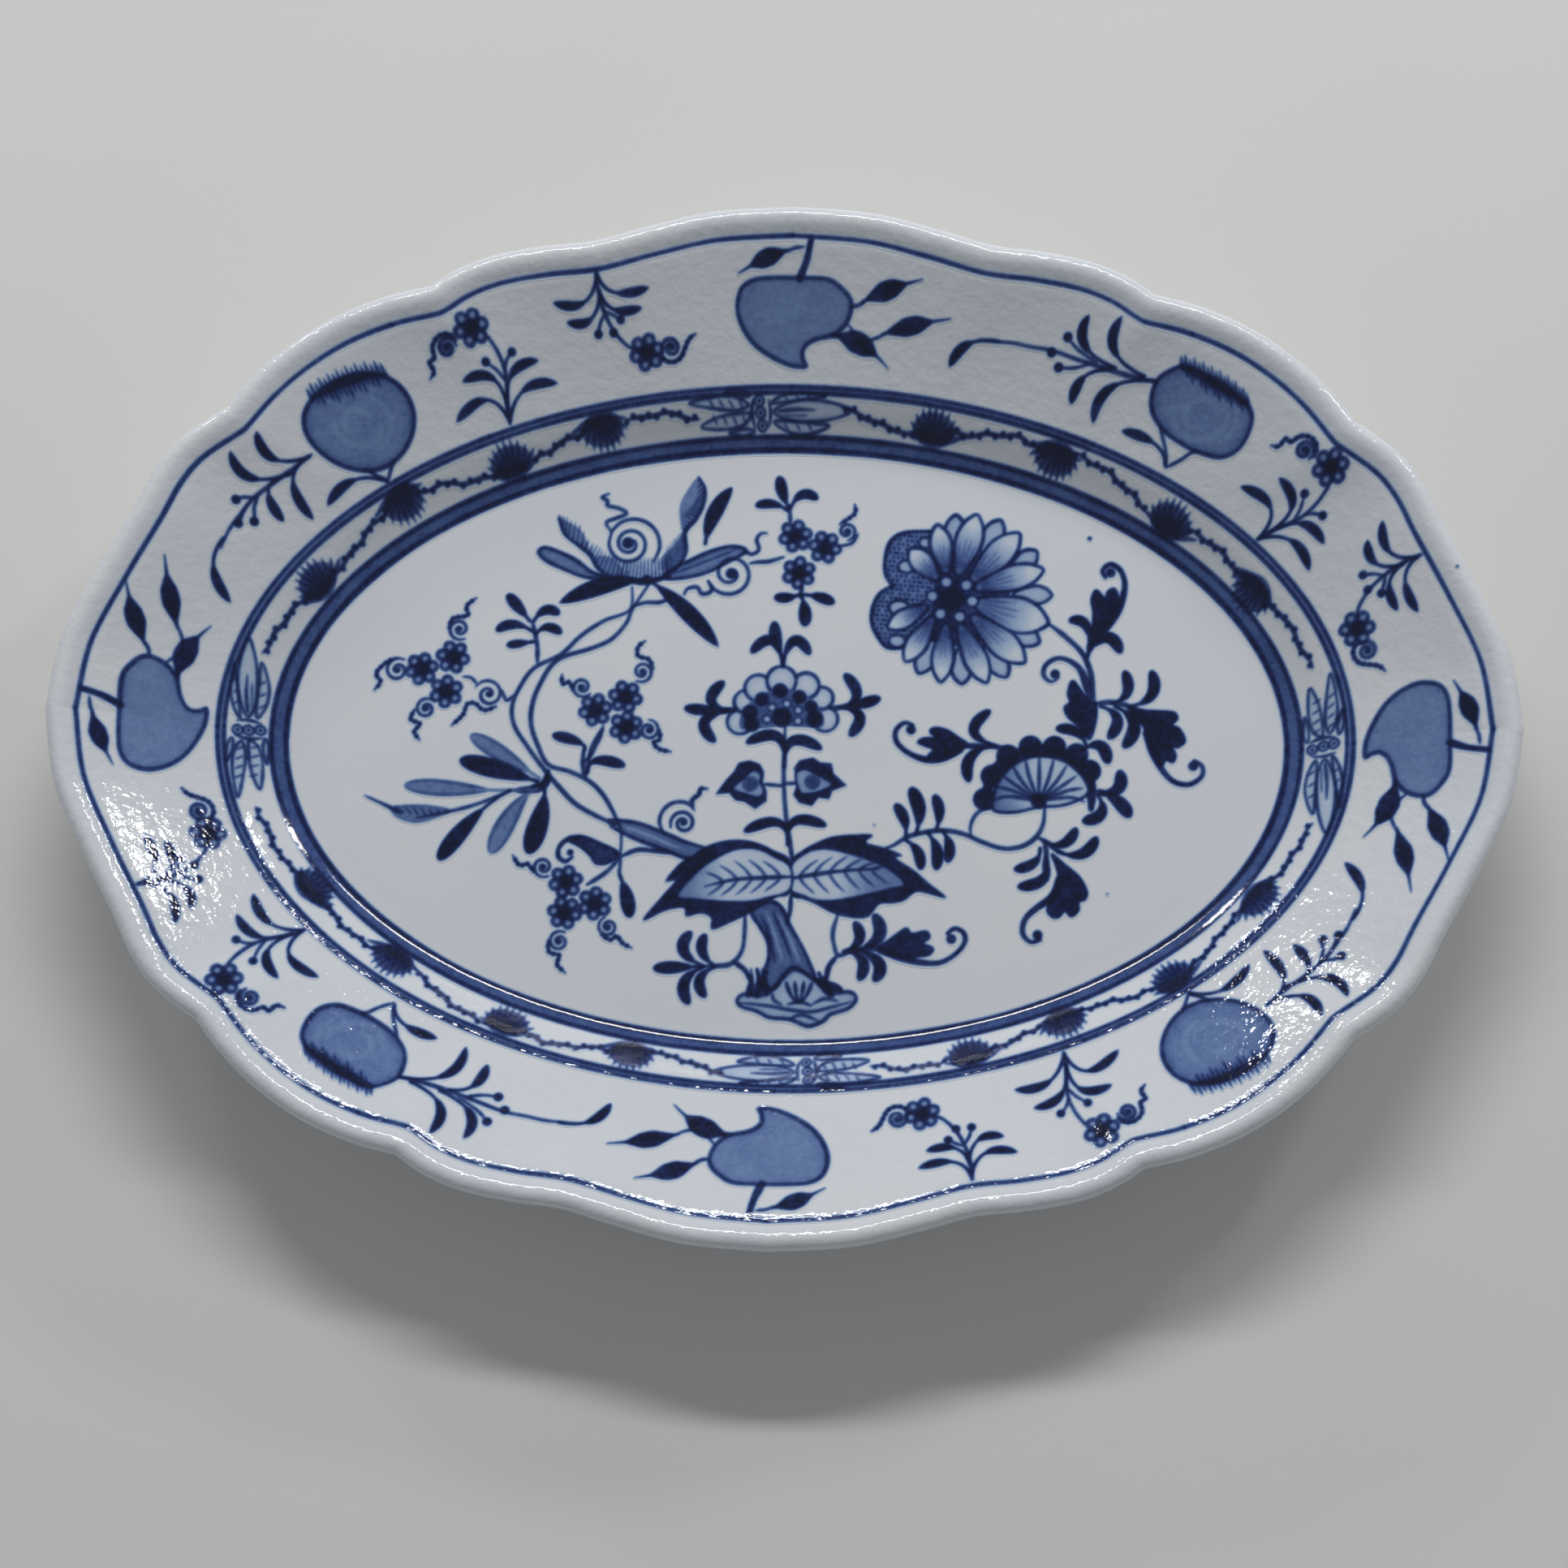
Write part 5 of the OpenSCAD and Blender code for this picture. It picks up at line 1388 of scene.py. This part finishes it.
HEART_RIGHT = [
    (2.5, -6.4), (3.8, -4.4), (7.2, -3.6), (9, -4.8), (11.9, -5), (12.4, -7.6), (15.8, -10.6), (12.2, -12),
    (11.5, -14.2), (8.8, -13.8), (7.2, -16), (4, -15.2), (2.5, -13.2), (3.4, -10.4),
]
HEART_RIGHT_INNER = [(3, -8), (4.6, -6.6), (7, -7.2), (10, -8.8), (12.2, -10.4), (9.8, -12), (6.4, -13),
                     (4, -12.4)]
HEART_LEFT = [
    (-5, -7.4), (-6.2, -5.4), (-8.6, -4.6), (-11.4, -5.2), (-12.6, -7.6), (-14.4, -9.6),
    (-17, -13.4), (-13.6, -13), (-12, -14.8), (-9.6, -15.2), (-7, -17), (-4.2, -15), (-4.2, -12.4),
    (-5.2, -10.2),
]
HEART_LEFT_INNER = [(-5.6, -8.2), (-7.6, -7), (-9.8, -8.8), (-12.8, -11.8), (-9.6, -13.2), (-6, -14),
                    (-4.9, -12), (-6, -10)]


def paint_centre_stem():
    art.begin("centre_stem", ["centre_stem"])
    art.line([(0, 4.6), (0, -2), (0, -9.3), (0.7, -17.9), (2.1, -26.4), (2.9, -32.9), (2.5, -40.7)], 1.0)
    leaves(([(0, -6), (2, 0.6), (9.2, -1.3)], 3.2), ([(0, -6), (-1.8, 1.6), (-9.5, 0)], 3.2),
           ([(1.6, -26), (3, -20), (10.8, -21)], 3.0), ([(1.4, -26), (-1.2, -20.4), (-9.5, -22.8)], 3.0))
    art.begin("heart_leaves", ["centre_stem"])
    stems(0.9, [(0.2, -10.4), (3.4, -10.2)], [(0.2, -11), (-5, -10.6)])
    for ring, inner, heart in ((HEART_RIGHT, HEART_RIGHT_INNER, (7.2, -9.8)),
                               (HEART_LEFT, HEART_LEFT_INNER, (-8.4, -10.6))):
        paint_bordered_leaf(ring, inner, 0.3, round_off=False)
        art.dot(heart, 2.0, 0.6)


def paint_bordered_leaf(ring, inner, tone, round_off=True):
    """A lobed leaf: a dark border round a paler middle."""
    art.shape(ring, 0.95, round_off=round_off, pool=0)
    outlined(inner, tone, 0.6, 0.88, pool=0.3, over=True)


GREAT_RIGHT = [
    (2.4, -30.4), (5.2, -27.4), (8.6, -25.4), (12.5, -23.8), (17.5, -23.2), (22.8, -23.2),
    (20.8, -25.1), (25.5, -26.4), (30.2, -28.3), (28.4, -29), (33, -32), (37, -35.4), (41.4, -39),
    (36.5, -37.9), (33.6, -37.6), (30.8, -39.8), (27.5, -40.6), (24.6, -40.8), (21.8, -44.2),
    (17, -44.3), (12.6, -43.1), (9, -41.2), (5.6, -39.8), (2.4, -38.6),
]
GREAT_RIGHT_INNER = [
    (2.4, -31.6), (4.8, -28.8), (8.4, -27), (13, -27), (20, -28.8), (26, -31.2), (31, -35.6), (27, -37),
    (20, -38.9), (13.5, -40.2), (8.6, -40.1), (5.6, -39), (2.4, -37.4),
]
GREAT_LEFT = [
    (2.2, -30.2), (-2, -27.6), (-5.6, -25.9), (-10, -25), (-15, -25.4), (-19.4, -27), (-22.5, -29.2),
    (-25.6, -31.4), (-29, -35.9), (-26.4, -35.6), (-29.4, -39.4), (-34.4, -46), (-28.6, -43.3), (-24, -42.6),
    (-23.6, -44.8), (-20, -43.9), (-17.2, -45), (-17, -48), (-12, -45.9), (-8, -43.9), (-4.4, -41.7),
    (-1, -39.4), (2.2, -38.4),
]
GREAT_LEFT_INNER = [
    (2.2, -31.6), (-2, -29), (-6, -27.2), (-11, -27.2), (-16, -29.4), (-21, -33.2), (-26, -39.6),
    (-21, -40.4), (-14, -40.9), (-8, -40.8), (-3.6, -39.8), (2.2, -37.6),
]


def paint_great_leaf(ring, inner, way, middle, veins):
    """A great leaf, with its midrib and pairs of side veins. Its way is 1 to the right, -1 to the left."""
    paint_bordered_leaf(ring, inner, 0.1)
    wash = [(x, y) for x, y in inner if abs(x) > 12]
    art.shape(wash, 0.36, shade=lambda x, y: np.clip((way * x - 14) / 10, 0, 1), pool=0)
    art.line(middle, [1.2, 0.95, 0.6], 0.86)
    for x, y, up, down in veins:
        art.line([(x, y), (x + way * 2, y + up * 0.55), (x + way * 4.6, y + up)], [0.8, 0.65, 0.4], 0.68)
        art.line([(x, y), (x + way * 1.6, y - down * 0.5), (x + way * 4, y - down)], [0.8, 0.65, 0.4], 0.68)


def paint_great_leaves():
    art.begin("great_leaf_right", ["great_leaves"])
    paint_great_leaf(GREAT_RIGHT, GREAT_RIGHT_INNER, 1,
                     [(2.5, -34.6), (9, -33.4), (16, -32.4), (24.4, -31.8)],
                     [(4.4, -34.2, 4.4, 4.2), (8, -33.6, 4.6, 4.6), (11.8, -33, 4.2, 4.8),
                      (15.6, -32.5, 3.2, 4.6), (19.2, -32.2, 2.2, 4.2), (22.4, -32, 1.2, 3.4)])
    art.begin("great_leaf_left", ["great_leaves"])
    paint_great_leaf(GREAT_LEFT, GREAT_LEFT_INNER, -1,
                     [(2.5, -34.2), (-5, -34.6), (-12, -35.2), (-19, -37)],
                     [(0, -34.3, 4, 3.6), (-3.6, -34.5, 4.4, 4), (-7.2, -34.8, 4.4, 4.2),
                      (-10.8, -35.2, 3.6, 4), (-14.2, -35.8, 2.4, 3.4)])


def paint_rock_and_trunk():
    art.begin("rock", ["rock_and_trunk"])
    rock = [(-10.2, -65.8), (-8.6, -64.2), (-5, -64.6), (-2, -63.4), (1, -60), (3.6, -57.8), (6.4, -58.6),
            (9, -60.4), (13, -63.4), (17.8, -63.2), (19.4, -65), (17.4, -67.4), (13, -69), (11.4, -70.6),
            (7.6, -72), (3, -70.4), (-2, -70), (-5.4, -68.4), (-9, -67.4)]
    outlined(rock, 0.24, 0.9, 0.86, pool=0.5)
    for path in ([(-9.6, -66.4), (-3, -67), (2, -67.8), (8, -68.4), (13, -67.2), (18.4, -65.6)],
                 [(-1.6, -63.8), (-1, -65.6), (1, -66.8)], [(8.6, -66.4), (11.6, -65), (15, -65.6)],
                 [(3, -70.2), (6, -69.2), (10, -70.6)]):
        art.line(path, [0.7, 1.0, 0.6], 0.8)
    for x, lean in ((3.4, -1.6), (4.6, -0.6), (5.8, 0.5), (6.8, 1.6)):
        art.comma([(5.2, -66), (x, -64.6), (x + lean, -60.8)], 1.0, 0, 0.9)
    art.line([(2.4, -66.6), (5.4, -66), (8.2, -66.8)], 0.8, 0.86)
    art.begin("trunk", ["rock_and_trunk"])
    trunk = [(-7.2, -43.2), (-5, -47), (-3, -50.6), (-2.6, -55), (-4.2, -60.6), (-1.6, -62.8), (0, -61.6),
             (1, -59.4), (3.4, -57.2), (6, -58.2), (9.2, -60.4), (7.6, -56), (5.2, -51.2), (2.4, -46.4),
             (0.2, -42), (-3, -40.6)]
    outlined(trunk, 0.62, 0.9, 0.88, pool=0.3)
    for path in ([(-3.6, -43), (-1.4, -48.6), (0.8, -55.6)], [(-0.6, -43.6), (2.4, -49.6), (5.2, -56)]):
        art.line(path, [0.6, 1.0, 0.6], -0.4)
    for path in ([(-5, -44), (-2.8, -48.6), (-1, -56)], [(-2, -43), (1, -49.6), (3.4, -55.8)]):
        art.line(path, [0.6, 0.9, 0.5], 0.7)
    art.line([(2.5, -39.4), (2.4, -43), (1.6, -46.4)], 1.0, 0.86)
    for path in ([(-5.4, -58), (-4.8, -61), (-5.4, -65)], [(-7.4, -59.6), (-6.8, -62), (-7.6, -64.8)],
                 [(-3, -58.6), (-3.4, -61), (-2.8, -64.4)], [(9, -60), (11.4, -61), (15.8, -62.8)],
                 [(9, -60.4), (11.8, -62.6), (13.6, -64.4)], [(10, -58.6), (11, -60.4), (12.4, -61.4)]):
        art.comma(path, 2.0)
    for x in (-7, -5.6, -4.2):
        art.line([(x + 0.6, -61), (x, -57.6)], [0.8, 0.4], 0.86)


def paint_foot_sprigs():
    art.begin("foot_sprig_left", ["small_sprigs"])
    art.line([(-8.8, -43.4), (-8.8, -49), (-9.4, -53.4), (-12, -56.6), (-16, -57.2), (-21, -57.4)],
             [1.1, 1.0, 1.2, 1.0])
    art.line([(-11.4, -56), (-8.4, -58.2), (-6.6, -61.4)], 1.3, 0.9)
    leaves(([(-19, -57.2), (-23.9, -53.4), (-22.2, -48.8)], 3.3),
           ([(-16, -57.2), (-19.2, -53.6), (-18.6, -49.4)], 3.0), ([(-19.4, -57.4), (-31, -58)], 3.5),
           ([(-18.6, -57.4), (-23.4, -61.4), (-22.2, -66.8)], 3.3),
           ([(-15.8, -57.4), (-19.6, -60.6), (-18.2, -65)], 3.0))
    art.begin("foot_sprig_right", ["small_sprigs"])
    art.line([(14.4, -43.4), (13.2, -48), (13.6, -51.4), (14.8, -54), (18.6, -52.7), (26, -52.1)],
             [1.1, 1.0, 1.2, 1.8])
    art.line([(14.3, -54.3), (12.4, -57), (11.8, -60.7)], 1.3, 0.9)
    leaves(([(16, -53), (19.8, -50), (18.6, -45.6)], 3.0),
           ([(18.6, -52.6), (24.6, -49.2), (23.4, -43.6)], 3.6),
           ([(16.6, -52.8), (20.8, -55.4), (20, -60)], 3.2),
           ([(19.4, -52.6), (24.8, -55.8), (23.8, -60.2)], 3.5))


def paint_specks():
    """Stray dots of cobalt that fell on the glaze."""
    art.begin("stray_specks", ["small_sprigs"])
    for at, radius, tone in (((75.7, 54.3), 0.55, 0.85), ((22.9, -20.6), 0.35, 0.4),
                             ((81.3, -37.3), 0.4, 0.4), ((166, 40.5), 0.4, 0.7)):
        art.dot(at, radius, tone)


for paint in (paint_rings, paint_shells, paint_garlands, paint_rosettes, paint_peaches, paint_pomegranates,
              paint_sprigs, paint_left_branch, paint_lily, paint_plums, paint_small_sprigs, paint_leaf_fan,
              paint_chrysanthemum, paint_right_branch, paint_scroll_leaves, paint_peony, paint_aster,
              paint_centre_stem, paint_great_leaves, paint_rock_and_trunk, paint_foot_sprigs, paint_specks):
    paint()
art.soften()
art.share_out()


# ---- Materials ----

def add_node(tree, kind, **values):
    node = tree.nodes.new(kind)
    for name, value in values.items():
        setattr(node, name, value)
    return node


def noise_node(tree, scale, detail):
    """3D noise fixed to the object. Its scale is in lumps to the metre."""
    node = add_node(tree, "ShaderNodeTexNoise")
    node.inputs["Scale"].default_value = scale
    node.inputs["Detail"].default_value = detail
    tree.links.new(tree.nodes["Coordinates"].outputs["Object"], node.inputs["Vector"])
    return node.outputs["Fac"]


def math_node(tree, operation, a, b):
    node = add_node(tree, "ShaderNodeMath", operation=operation)
    for socket, value in zip(node.inputs, (a, b)):
        if isinstance(value, (int, float)):
            socket.default_value = value
        else:
            tree.links.new(value, socket)
    return node.outputs[0]


def ramp_node(tree, value, stops):
    """Colour from a value, by stops of (position, (red, green, blue))."""
    node = add_node(tree, "ShaderNodeValToRGB")
    ramp = node.color_ramp
    while len(ramp.elements) < len(stops):
        ramp.elements.new(0.5)
    for element, (position, colour) in zip(ramp.elements, stops):
        element.position = position
        element.color = (*colour, 1)
    tree.links.new(value, node.inputs["Fac"])
    return node.outputs["Color"]


def mix_colour(tree, share, a, b, blend="MIX"):
    node = add_node(tree, "ShaderNodeMix", data_type="RGBA", blend_type=blend)
    for socket, value in zip((node.inputs[0], node.inputs[6], node.inputs[7]), (share, a, b)):
        if isinstance(value, tuple):
            socket.default_value = (*value, 1)
        elif isinstance(value, (int, float)):
            socket.default_value = value
        else:
            tree.links.new(value, socket)
    return node.outputs[2]


def new_material(name):
    material = bpy.data.materials.new(name)
    material.use_nodes = True
    tree = material.node_tree
    add_node(tree, "ShaderNodeTexCoord", name="Coordinates")
    return material, tree, tree.nodes["Principled BSDF"]


# The colour of the glaze by how much cobalt lies under it.
COBALT_STOPS = [
    (0.0, (0.79, 0.81, 0.84)), (0.15, (0.44, 0.55, 0.72)), (0.32, (0.20, 0.30, 0.53)),
    (0.5, (0.085, 0.15, 0.36)), (0.7, (0.026, 0.055, 0.20)), (0.88, (0.007, 0.016, 0.085)),
    (1.0, (0.003, 0.006, 0.03)),
]
GLAZE_ROUGHNESS = 0.1
GLAZE_IOR = 1.5
BUMP_HEIGHT = 0.0005      # the height of the glaze's waviness at full strength, in metres


def add_surface_bump(tree, shader, strength, low_share):
    """A gentle waviness with fine pits in it. It fades down the cavetto to its low share in the well."""
    split = add_node(tree, "ShaderNodeSeparateXYZ")
    tree.links.new(tree.nodes["Coordinates"].outputs["Object"], split.inputs["Vector"])
    rise = add_node(tree, "ShaderNodeMapRange")
    for socket, value in (("From Min", (well_z + 1) * MM), ("From Max", border_z * MM),
                          ("To Min", low_share * strength), ("To Max", strength)):
        rise.inputs[socket].default_value = value
    tree.links.new(split.outputs["Z"], rise.inputs["Value"])
    wave = noise_node(tree, 300, 2)
    pits = noise_node(tree, 720, 1)
    height_here = math_node(tree, "ADD", wave, math_node(tree, "MULTIPLY", pits, 0.3))
    bump = add_node(tree, "ShaderNodeBump")
    tree.links.new(rise.outputs["Result"], bump.inputs["Strength"])
    bump.inputs["Distance"].default_value = BUMP_HEIGHT
    tree.links.new(height_here, bump.inputs["Height"])
    tree.links.new(bump.outputs["Normal"], shader.inputs["Normal"])


def make_glaze():
    """Porcelain glaze, blue where cobalt lies under it.

    The cobalt has a fine speckle, the white has broad faint clouds, and the gloss wanders a little.
    """
    material, tree, shader = new_material("glaze")
    cobalt = add_node(tree, "ShaderNodeAttribute", attribute_type="GEOMETRY", attribute_name="cobalt")
    drift = math_node(tree, "MULTIPLY", math_node(tree, "SUBTRACT", noise_node(tree, 900, 2), 0.5), 0.3)
    uneven = math_node(tree, "MULTIPLY", cobalt.outputs["Fac"], math_node(tree, "ADD", 1.0, drift))
    blue = ramp_node(tree, uneven, COBALT_STOPS)
    clouds = ramp_node(tree, noise_node(tree, 22, 3), [(0.3, (0.95, 0.965, 0.985)), (0.7, (1.0, 1.0, 1.0))])
    colour = mix_colour(tree, 1.0, blue, clouds, "MULTIPLY")
    tree.links.new(colour, shader.inputs["Base Color"])
    rough = math_node(tree, "MULTIPLY", noise_node(tree, 60, 2), 0.06)
    tree.links.new(math_node(tree, "ADD", rough, GLAZE_ROUGHNESS - 0.03), shader.inputs["Roughness"])
    shader.inputs["IOR"].default_value = GLAZE_IOR
    add_surface_bump(tree, shader, 0.46, 0.15)
    return material


BARE_BAND = 0.0009        # the height that the glaze was wiped back to, in metres
BARE_RAGGED = 0.0006      # how much that height varies
CLAY_ROUGHNESS = 0.85


def make_foot():
    """The glazed foot ring, with the bare, slightly rough clay that it rests on."""
    material, tree, shader = new_material("foot")
    split = add_node(tree, "ShaderNodeSeparateXYZ")
    tree.links.new(tree.nodes["Coordinates"].outputs["Object"], split.inputs[0])
    ragged = math_node(tree, "MULTIPLY", noise_node(tree, 160, 3), BARE_RAGGED)
    wiped = math_node(tree, "ADD", split.outputs["Z"], ragged)
    glazed = math_node(tree, "GREATER_THAN", wiped, BARE_BAND + BARE_RAGGED / 2)
    clay = ramp_node(tree, noise_node(tree, 1400, 3), [(0.3, (0.5, 0.44, 0.36)), (0.7, (0.72, 0.67, 0.6))])
    colour = mix_colour(tree, glazed, clay, COBALT_STOPS[0][1])
    tree.links.new(colour, shader.inputs["Base Color"])
    smoother = math_node(tree, "MULTIPLY", glazed, CLAY_ROUGHNESS - GLAZE_ROUGHNESS)
    dull = math_node(tree, "SUBTRACT", CLAY_ROUGHNESS, smoother)
    tree.links.new(dull, shader.inputs["Roughness"])
    shader.inputs["IOR"].default_value = GLAZE_IOR
    add_surface_bump(tree, shader, 0.6, 1.0)
    return material


def make_floor():
    material, tree, shader = new_material("floor")
    tone = ramp_node(tree, noise_node(tree, 3, 2), [(0.3, (0.80, 0.785, 0.76)), (0.7, (0.84, 0.825, 0.80))])
    tree.links.new(tone, shader.inputs["Base Color"])
    shader.inputs["Roughness"].default_value = 0.7
    return material


glaze = make_glaze()
foot_material = make_foot()

# ---- The pieces ----

LIFT = 0.07               # how far the painting stands above the glaze, so that it always shows


def make_part(name, rings, material, node, joined=False):
    piece = loft(name, rings, material, joined)
    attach(piece, "root")
    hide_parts(node)


def make_motif(name, nodes, sheet):
    """One motif as a thin sheet that lies on the glaze and carries its cobalt."""
    x, y, faces, ink = sheet
    z = top_z(x, y) + LIFT
    mesh = bpy.data.meshes.new(name)
    mesh.vertices.add(len(x))
    mesh.vertices.foreach_set("co", (np.column_stack([x, y, z]) * MM).ravel())
    mesh.loops.add(faces.size)
    mesh.loops.foreach_set("vertex_index", faces.ravel().astype(np.int32))
    mesh.polygons.add(len(faces))
    mesh.polygons.foreach_set("loop_start", np.arange(0, faces.size, 4, dtype=np.int32))
    mesh.update(calc_edges=True)
    mesh.polygons.foreach_set("use_smooth", [True] * len(faces))
    strength = mesh.attributes.new("cobalt", "FLOAT", "POINT")
    strength.data.foreach_set("value", ink.astype(np.float32))
    mesh.materials.append(glaze)
    piece = bpy.data.objects.new(name, mesh)
    bpy.context.scene.collection.objects.link(piece)
    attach(piece, "root")
    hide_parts(*nodes)


make_part("platter_body", body_rings(), glaze, "body")
make_part("foot_rim", foot_rings(), foot_material, "foot_ring", True)
for index, (motif, nodes) in enumerate(art.motifs):
    sheet = art.sheet(index)
    if sheet is not None:
        make_motif(motif, nodes, sheet)

# ---- Floor, light and camera ----

FLOOR_HALF = 3000         # half of the floor's side, in millimetres
FLOOR_RISE = 40           # how far its outer edges curve up
FLOOR_POINTS = 24         # grid points along each side

# Each light: its name, the way to it from the platter, its two diameters in metres, and its power.
LIGHTS = [
    ("light_right", (0.60, 0.66, 0.46), (0.2, 0.2), 4),
    ("light_left", (-0.50, 0.77, 0.38), (0.2, 0.2), 3),
    ("light_low", (0, 0.69, 0.72), (1.4, 0.14), 16),
]
LIGHT_DISTANCE = 1.9      # in metres
SKY_COLOUR = (0.9, 0.945, 1.0, 1)
SKY_STRENGTH = 0.24

CAMERA_TURNS = (13.0, -2.385, -0.898)      # tilt, yaw and roll from square on, in degrees
CAMERA_OFFSET = (-0.922, 16.26, -1439.1)   # where the rim's middle lies in the camera's own axes
RIM_LEVEL = 35                             # the height at which the rim's middle is taken
LENS = 134.1
SENSOR_WIDTH = 36


def make_studio_floor():
    """A plain floor, gently dished at its far edges."""
    count = FLOOR_POINTS
    t = np.linspace(-1, 1, count)
    verts = [(u * FLOOR_HALF, v * FLOOR_HALF, FLOOR_RISE * (max(abs(u), abs(v)) ** 8)) for v in t for u in t]
    faces = [(j * count + i, j * count + i + 1, (j + 1) * count + i + 1, (j + 1) * count + i)
             for j in range(count - 1) for i in range(count - 1)]
    mesh_object("studio_floor", verts, faces, make_floor())


def add_light(name, direction, size, power):
    """A round or oval soft light that faces the middle of the platter."""
    light = bpy.data.lights.new(name, "AREA")
    light.shape = "ELLIPSE"
    light.size, light.size_y = size
    light.energy = power
    lamp = bpy.data.objects.new(name, light)
    way = Vector(direction).normalized()
    lamp.location = way * LIGHT_DISTANCE
    lamp.rotation_mode = "QUATERNION"
    lamp.rotation_quaternion = way.to_track_quat("Z", "Y")
    bpy.context.scene.collection.objects.link(lamp)


def add_camera():
    """The camera stands where the photographer stood, tilted from square on towards the lower edge."""
    tilt, yaw, roll = (math.radians(a) for a in CAMERA_TURNS)
    turn = Matrix.Rotation(-yaw, 3, "Y").transposed() @ Matrix.Rotation(tilt, 3, "X").transposed()
    turn = turn @ Matrix.Rotation(roll, 3, "Z")
    offset = Vector(CAMERA_OFFSET) * MM
    rim_middle = Vector((0, 0, RIM_LEVEL * MM))
    place = Matrix.Translation(rim_middle - turn.transposed() @ offset)
    camera_data = bpy.data.cameras.new("camera")
    camera_data.sensor_width = SENSOR_WIDTH
    camera_data.lens = LENS
    camera_data.clip_start = 0.05
    camera = bpy.data.objects.new("camera", camera_data)
    camera.matrix_world = place @ turn.transposed().to_4x4()
    bpy.context.scene.collection.objects.link(camera)
    bpy.context.scene.camera = camera


make_studio_floor()
add_camera()
for light in LIGHTS:
    add_light(*light)

world = bpy.data.worlds.new("studio")
bpy.context.scene.world = world
world.use_nodes = True
sky = world.node_tree.nodes["Background"]
sky.inputs["Color"].default_value = SKY_COLOUR
sky.inputs["Strength"].default_value = SKY_STRENGTH
bpy.context.scene.view_settings.view_transform = "Standard"
